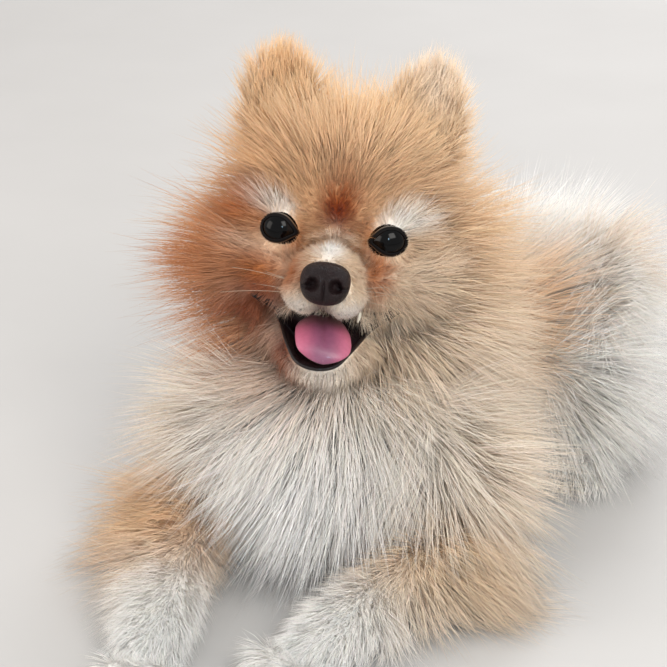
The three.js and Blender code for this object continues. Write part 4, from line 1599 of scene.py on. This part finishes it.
@dataclass
class Whiskers:
    """Long stiff whiskers on both sides of the muzzle, made by a node tree that turns lines to tubes."""

    root_radius: float = 0.075
    seed: int = 3

    def lines(self) -> tuple[Array, list[tuple[int, int]]]:
        """The whiskers' middles as chains of points.

        Returns:
            Points in millimetres and the edges that join them.
        """
        rng = np.random.default_rng(self.seed)
        points, edges = [], []
        for side in Side:
            for row in range(2):
                for column in range(3):
                    s = side.value
                    root = np.array([s * (10.5 + column * 2.4), -15.0 + column * 5.0, -21.0 - row * 4.0])
                    reach = rng.uniform(26.0, 40.0)
                    lift = 0.25 - 0.26 * row + rng.normal(0, 0.08)
                    aim = unit(np.array([s, 0.30 + 0.22 * column, lift]))
                    sag = np.array([0.0, 0.25, -0.22]) * reach * 0.5
                    t = np.linspace(0.0, 1.0, 9)[:, None]
                    chain = root + aim * reach * t + sag * t**2
                    base = sum(len(c) for c in points)
                    points.append(chain)
                    edges += [(base + i, base + i + 1) for i in range(len(chain) - 1)]
        return HEAD.out(np.vstack(points)), edges

    def tree(self, material: bpy.types.Material) -> bpy.types.NodeTree:
        """A node tree that turns a mesh's edges into thin tapering tubes."""
        group = bpy.data.node_groups.new("whisker_tubes", "GeometryNodeTree")
        for name, way, kind in (
            ("Geometry", "INPUT", "NodeSocketGeometry"),
            ("Root radius", "INPUT", "NodeSocketFloat"),
            ("Geometry", "OUTPUT", "NodeSocketGeometry"),
        ):
            group.interface.new_socket(name, in_out=way, socket_type=kind)
        start, end, curve, share, taper, ring, sweep, width, paint, whole = (
            group.nodes.new(kind)
            for kind in (
                "NodeGroupInput", "NodeGroupOutput", "GeometryNodeMeshToCurve",
                "GeometryNodeSplineParameter", "ShaderNodeMapRange",
                "GeometryNodeCurvePrimitiveCircle", "GeometryNodeCurveToMesh",
                "GeometryNodeSetCurveRadius", "GeometryNodeSetMaterial",
                "GeometryNodeRealizeInstances",
            )
        )
        for node, name, value in (
            (taper, "To Min", 1.0),
            (taper, "To Max", 0.15),
            (ring, "Resolution", 5),
            (sweep, "Fill Caps", True),
            (paint, "Material", material),
        ):
            node.inputs[name].default_value = value
        for source, output, target, socket in (
            (start, "Geometry", curve, "Mesh"),
            (share, "Factor", taper, "Value"),
            (curve, "Curve", width, "Curve"),
            (taper, "Result", width, "Radius"),
            (start, "Root radius", ring, "Radius"),
            (width, "Curve", sweep, "Curve"),
            (ring, "Curve", sweep, "Profile Curve"),
            (sweep, "Mesh", whole, "Geometry"),
            (whole, "Geometry", paint, "Geometry"),
            (paint, "Geometry", end, "Geometry"),
        ):
            group.links.new(source.outputs[output], target.inputs[socket])
        return group

    def build(self) -> None:
        """Makes the whiskers as one plain mesh."""
        points, edges = self.lines()
        mesh = bpy.data.meshes.new("whisker_lines")
        mesh.from_pydata((points * MM).tolist(), edges, [])
        made = bpy.data.objects.new("whiskers", mesh)
        bpy.context.collection.objects.link(made)
        material = HardFinish("whisker", (150, 128, 104), (206, 190, 170)).material()
        modifier = made.modifiers.new("tubes", "NODES")
        modifier.node_group = self.tree(material)
        radius = modifier.node_group.interface.items_tree["Root radius"]
        modifier[radius.identifier] = self.root_radius * MM
        Skin.apply(made)
        made.data.shade_smooth()
        dress(made, Finish.WHITE)


FLESH_NODES = (
    "head", "lower_jaw", "neck", "chest", "rump", "tail",
    *(f"{part}_{side.word}" for side in Side
      for part in ("ear", "upper_arm", "forearm", "forepaw", "thigh", "hind_paw")),
)


@dataclass
class Dog:
    """The whole dog, piece by piece."""

    coat: Coat
    skin: Skin = field(default_factory=Skin)
    most_triangles: int = 190000
    long_tuft: float = 44.0
    sunk: float = 0.6

    def build(self) -> None:
        """Builds the skin, the face's pieces and the coat."""
        skin = self.skin.build()
        self.dress_skin(skin)
        Eyes().build()
        Nose().build()
        Mouth().build(skin)
        Claws().build()
        Whiskers().build()
        self.grow_coat(skin)

    def unwrap_limbs(self) -> list[Limb]:
        """The limbs that the skin's flat layout is rolled from, one tile each."""
        path = [(0, -30, -20), (0, 0, -12), (0, 30, 2), (0, 60, 10)]
        skull = head_limb("skull", path, [(12, 10), (28, 26), (30, 30), (26, 26)], (0, 0, 1))
        return [*ANATOMY.trunk(), skull, ANATOMY.jaw(), *ANATOMY.paired()]

    def dress_skin(self, skin: bpy.types.Object) -> None:
        """Colours the skin, lays it out flat and gives the mouth its lining."""
        mesh = skin.data
        points = mesh_points(mesh)
        beside_lips = 1.0 - ramp(1.7, 3.0, LIPS.gap(HEAD.into(points)))
        colour_attribute(mesh, mix(MARKINGS.colour(points), linear(36, 21, 20), beside_lips[:, None]))
        corners = read_back(mesh.loops, "vertex_index", 1, np.int32)
        flat = Unwrap().place(points, self.unwrap_limbs())[corners]
        unwrap = mesh.uv_layers.new(name="OFBake")
        unwrap.data.foreach_set("uv", flat.astype(np.float32).ravel())
        centres = read_back(mesh.polygons, "center", 3).astype(float) / MM
        inside = self.skin.in_mouth(centres, 0.3)
        mesh.materials.clear()
        lining = WetFinish("mouth_lining", (15, 8, 8), (46, 19, 20), 1400.0, 0.3, 0.5, 0.15)
        mesh.materials.append(SkinFinish().material())
        mesh.materials.append(lining.material())
        mesh.polygons.foreach_set("material_index", inside.astype(np.int32))
        dress(skin, Finish.CREAM, *FLESH_NODES)

    def grow_coat(self, skin: bpy.types.Object) -> None:
        """Grows the tufts and joins them into pieces of a size that the export keeps whole."""
        place, normal = self.coat.roots(skin.data, self.skin)
        root, bend, tip, plan = self.coat.curves(place, normal)
        length = np.linalg.norm(tip - root, axis=1)
        colour = MARKINGS.colour(place)
        rng = np.random.default_rng(self.coat.seed + 2)
        colour = colour * rng.uniform(0.86, 1.1, (len(place), 1))
        colour = colour * rng.uniform(0.97, 1.03, (len(place), 3))
        spots = Unwrap().place(place, self.unwrap_limbs())
        finish = CoatFinish().material()
        for word, steps, chosen in (
            ("short", 2, length < self.long_tuft),
            ("long", 3, length >= self.long_tuft),
        ):
            shape = TuftMesh(steps)
            picked = np.flatnonzero(chosen)
            picked = picked[np.argsort(place[picked, 1])]
            pieces = max(1, int(np.ceil(len(picked) * shape.triangles / self.most_triangles)))
            for number, part in enumerate(np.array_split(picked, pieces)):
                made = shape.build(
                    f"coat_{word}_{number + 1}", root[part] - normal[part] * self.sunk, bend[part], tip[part],
                    plan["width"][part], colour[part], spots[part], finish,
                )
                middle = colour[part].mean(axis=0)
                slot = Finish.WHITE if middle[2] > 0.55 * middle[0] + 0.2 else Finish.CREAM
                dress(made, slot)
        log.info("coat: %d tufts", len(place))


@dataclass
class Studio:
    """A plain pale floor, soft lights and the camera at the photo's place."""

    azimuth: float = 18.0
    camera_height: float = 22.0
    distance: float = 700.0
    pitch: float = 25.4
    lens: float = 89.97

    def build(self) -> None:
        """Makes the floor, the lights and the camera."""
        self.floor()
        self.lights()
        self.camera()
        bpy.context.scene.view_settings.view_transform = "Standard"

    def floor(self) -> None:
        """A wide pale floor with a fine, faint grain."""
        half = 4000.0
        corners = np.array([(-half, -half, 0), (half, -half, 0), (half, half, 0), (-half, half, 0)])
        plane = mesh_object("floor", corners, [(0, 1, 2, 3)], smooth=False)
        tree = Tree("floor")
        colour = tree.tint((0.46, 0.445, 0.43, 1.0), (0.52, 0.505, 0.49, 1.0), tree.noise(6.0))
        plane.data.materials.append(tree.set(Base_Color=colour, Roughness=0.7))
        plane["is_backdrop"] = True

    def lights(self) -> None:
        """A broad key light from the upper right, a fill, a small window, a back light and the sky."""
        world = bpy.data.worlds.new("sky")
        world.use_nodes = True
        world.node_tree.nodes["Background"].inputs["Color"].default_value = (0.94, 0.93, 0.92, 1.0)
        world.node_tree.nodes["Background"].inputs["Strength"].default_value = 0.9
        bpy.context.scene.world = world
        self.lamp("key", (900, -900, 1300), 900, 19, (1.0, 0.97, 0.93))
        self.lamp("fill", (-1300, -900, 700), 900, 9, (1.0, 0.93, 0.86))
        self.lamp("window", (330, -800, 560), 32, 1.6, (0.5, 0.78, 1.0))
        self.lamp("back", (200, 1500, 1200), 700, 14, (0.95, 0.97, 1.0))

    def lamp(self, name: str, place: Triple, size: float, power: float, colour: Triple) -> None:
        """A square lamp that faces the dog's head."""
        data = bpy.data.lights.new(name, "AREA")
        data.size = size * MM
        data.energy = power
        data.color = colour
        made = bpy.data.objects.new(name, data)
        made.location = Vector(place) * MM
        aim = Vector(EYE_MIDPOINT) * MM - made.location
        made.rotation_euler = aim.to_track_quat("-Z", "Y").to_euler()
        bpy.context.collection.objects.link(made)

    def camera(self) -> None:
        """The camera at the photo's viewing angle, level and pitched down."""
        turn, rise, pitch = (np.radians(v) for v in (self.azimuth, self.camera_height, self.pitch))
        back = np.array([np.sin(turn) * np.cos(rise), -np.cos(turn) * np.cos(rise), np.sin(rise)])
        data = bpy.data.cameras.new("camera")
        data.sensor_width = 36.0
        data.lens = self.lens
        data.clip_start = 0.02
        made = bpy.data.objects.new("camera", data)
        made.location = Vector((np.array(EYE_MIDPOINT) + back * self.distance) * MM)
        made.rotation_euler = Euler((np.pi / 2 - pitch, 0.0, turn))
        bpy.context.collection.objects.link(made)
        bpy.context.scene.camera = made


def main() -> None:
    """Loads the frame, dresses the dog within the solids' box and builds the studio."""
    logging.basicConfig(level=logging.INFO, format="%(name)s: %(message)s")
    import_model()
    solid_box = [list(map(float, corner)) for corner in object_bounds()]
    Dog(Coat(room=solid_box)).build()
    Studio().build()


if __name__ == "__main__":
    main()
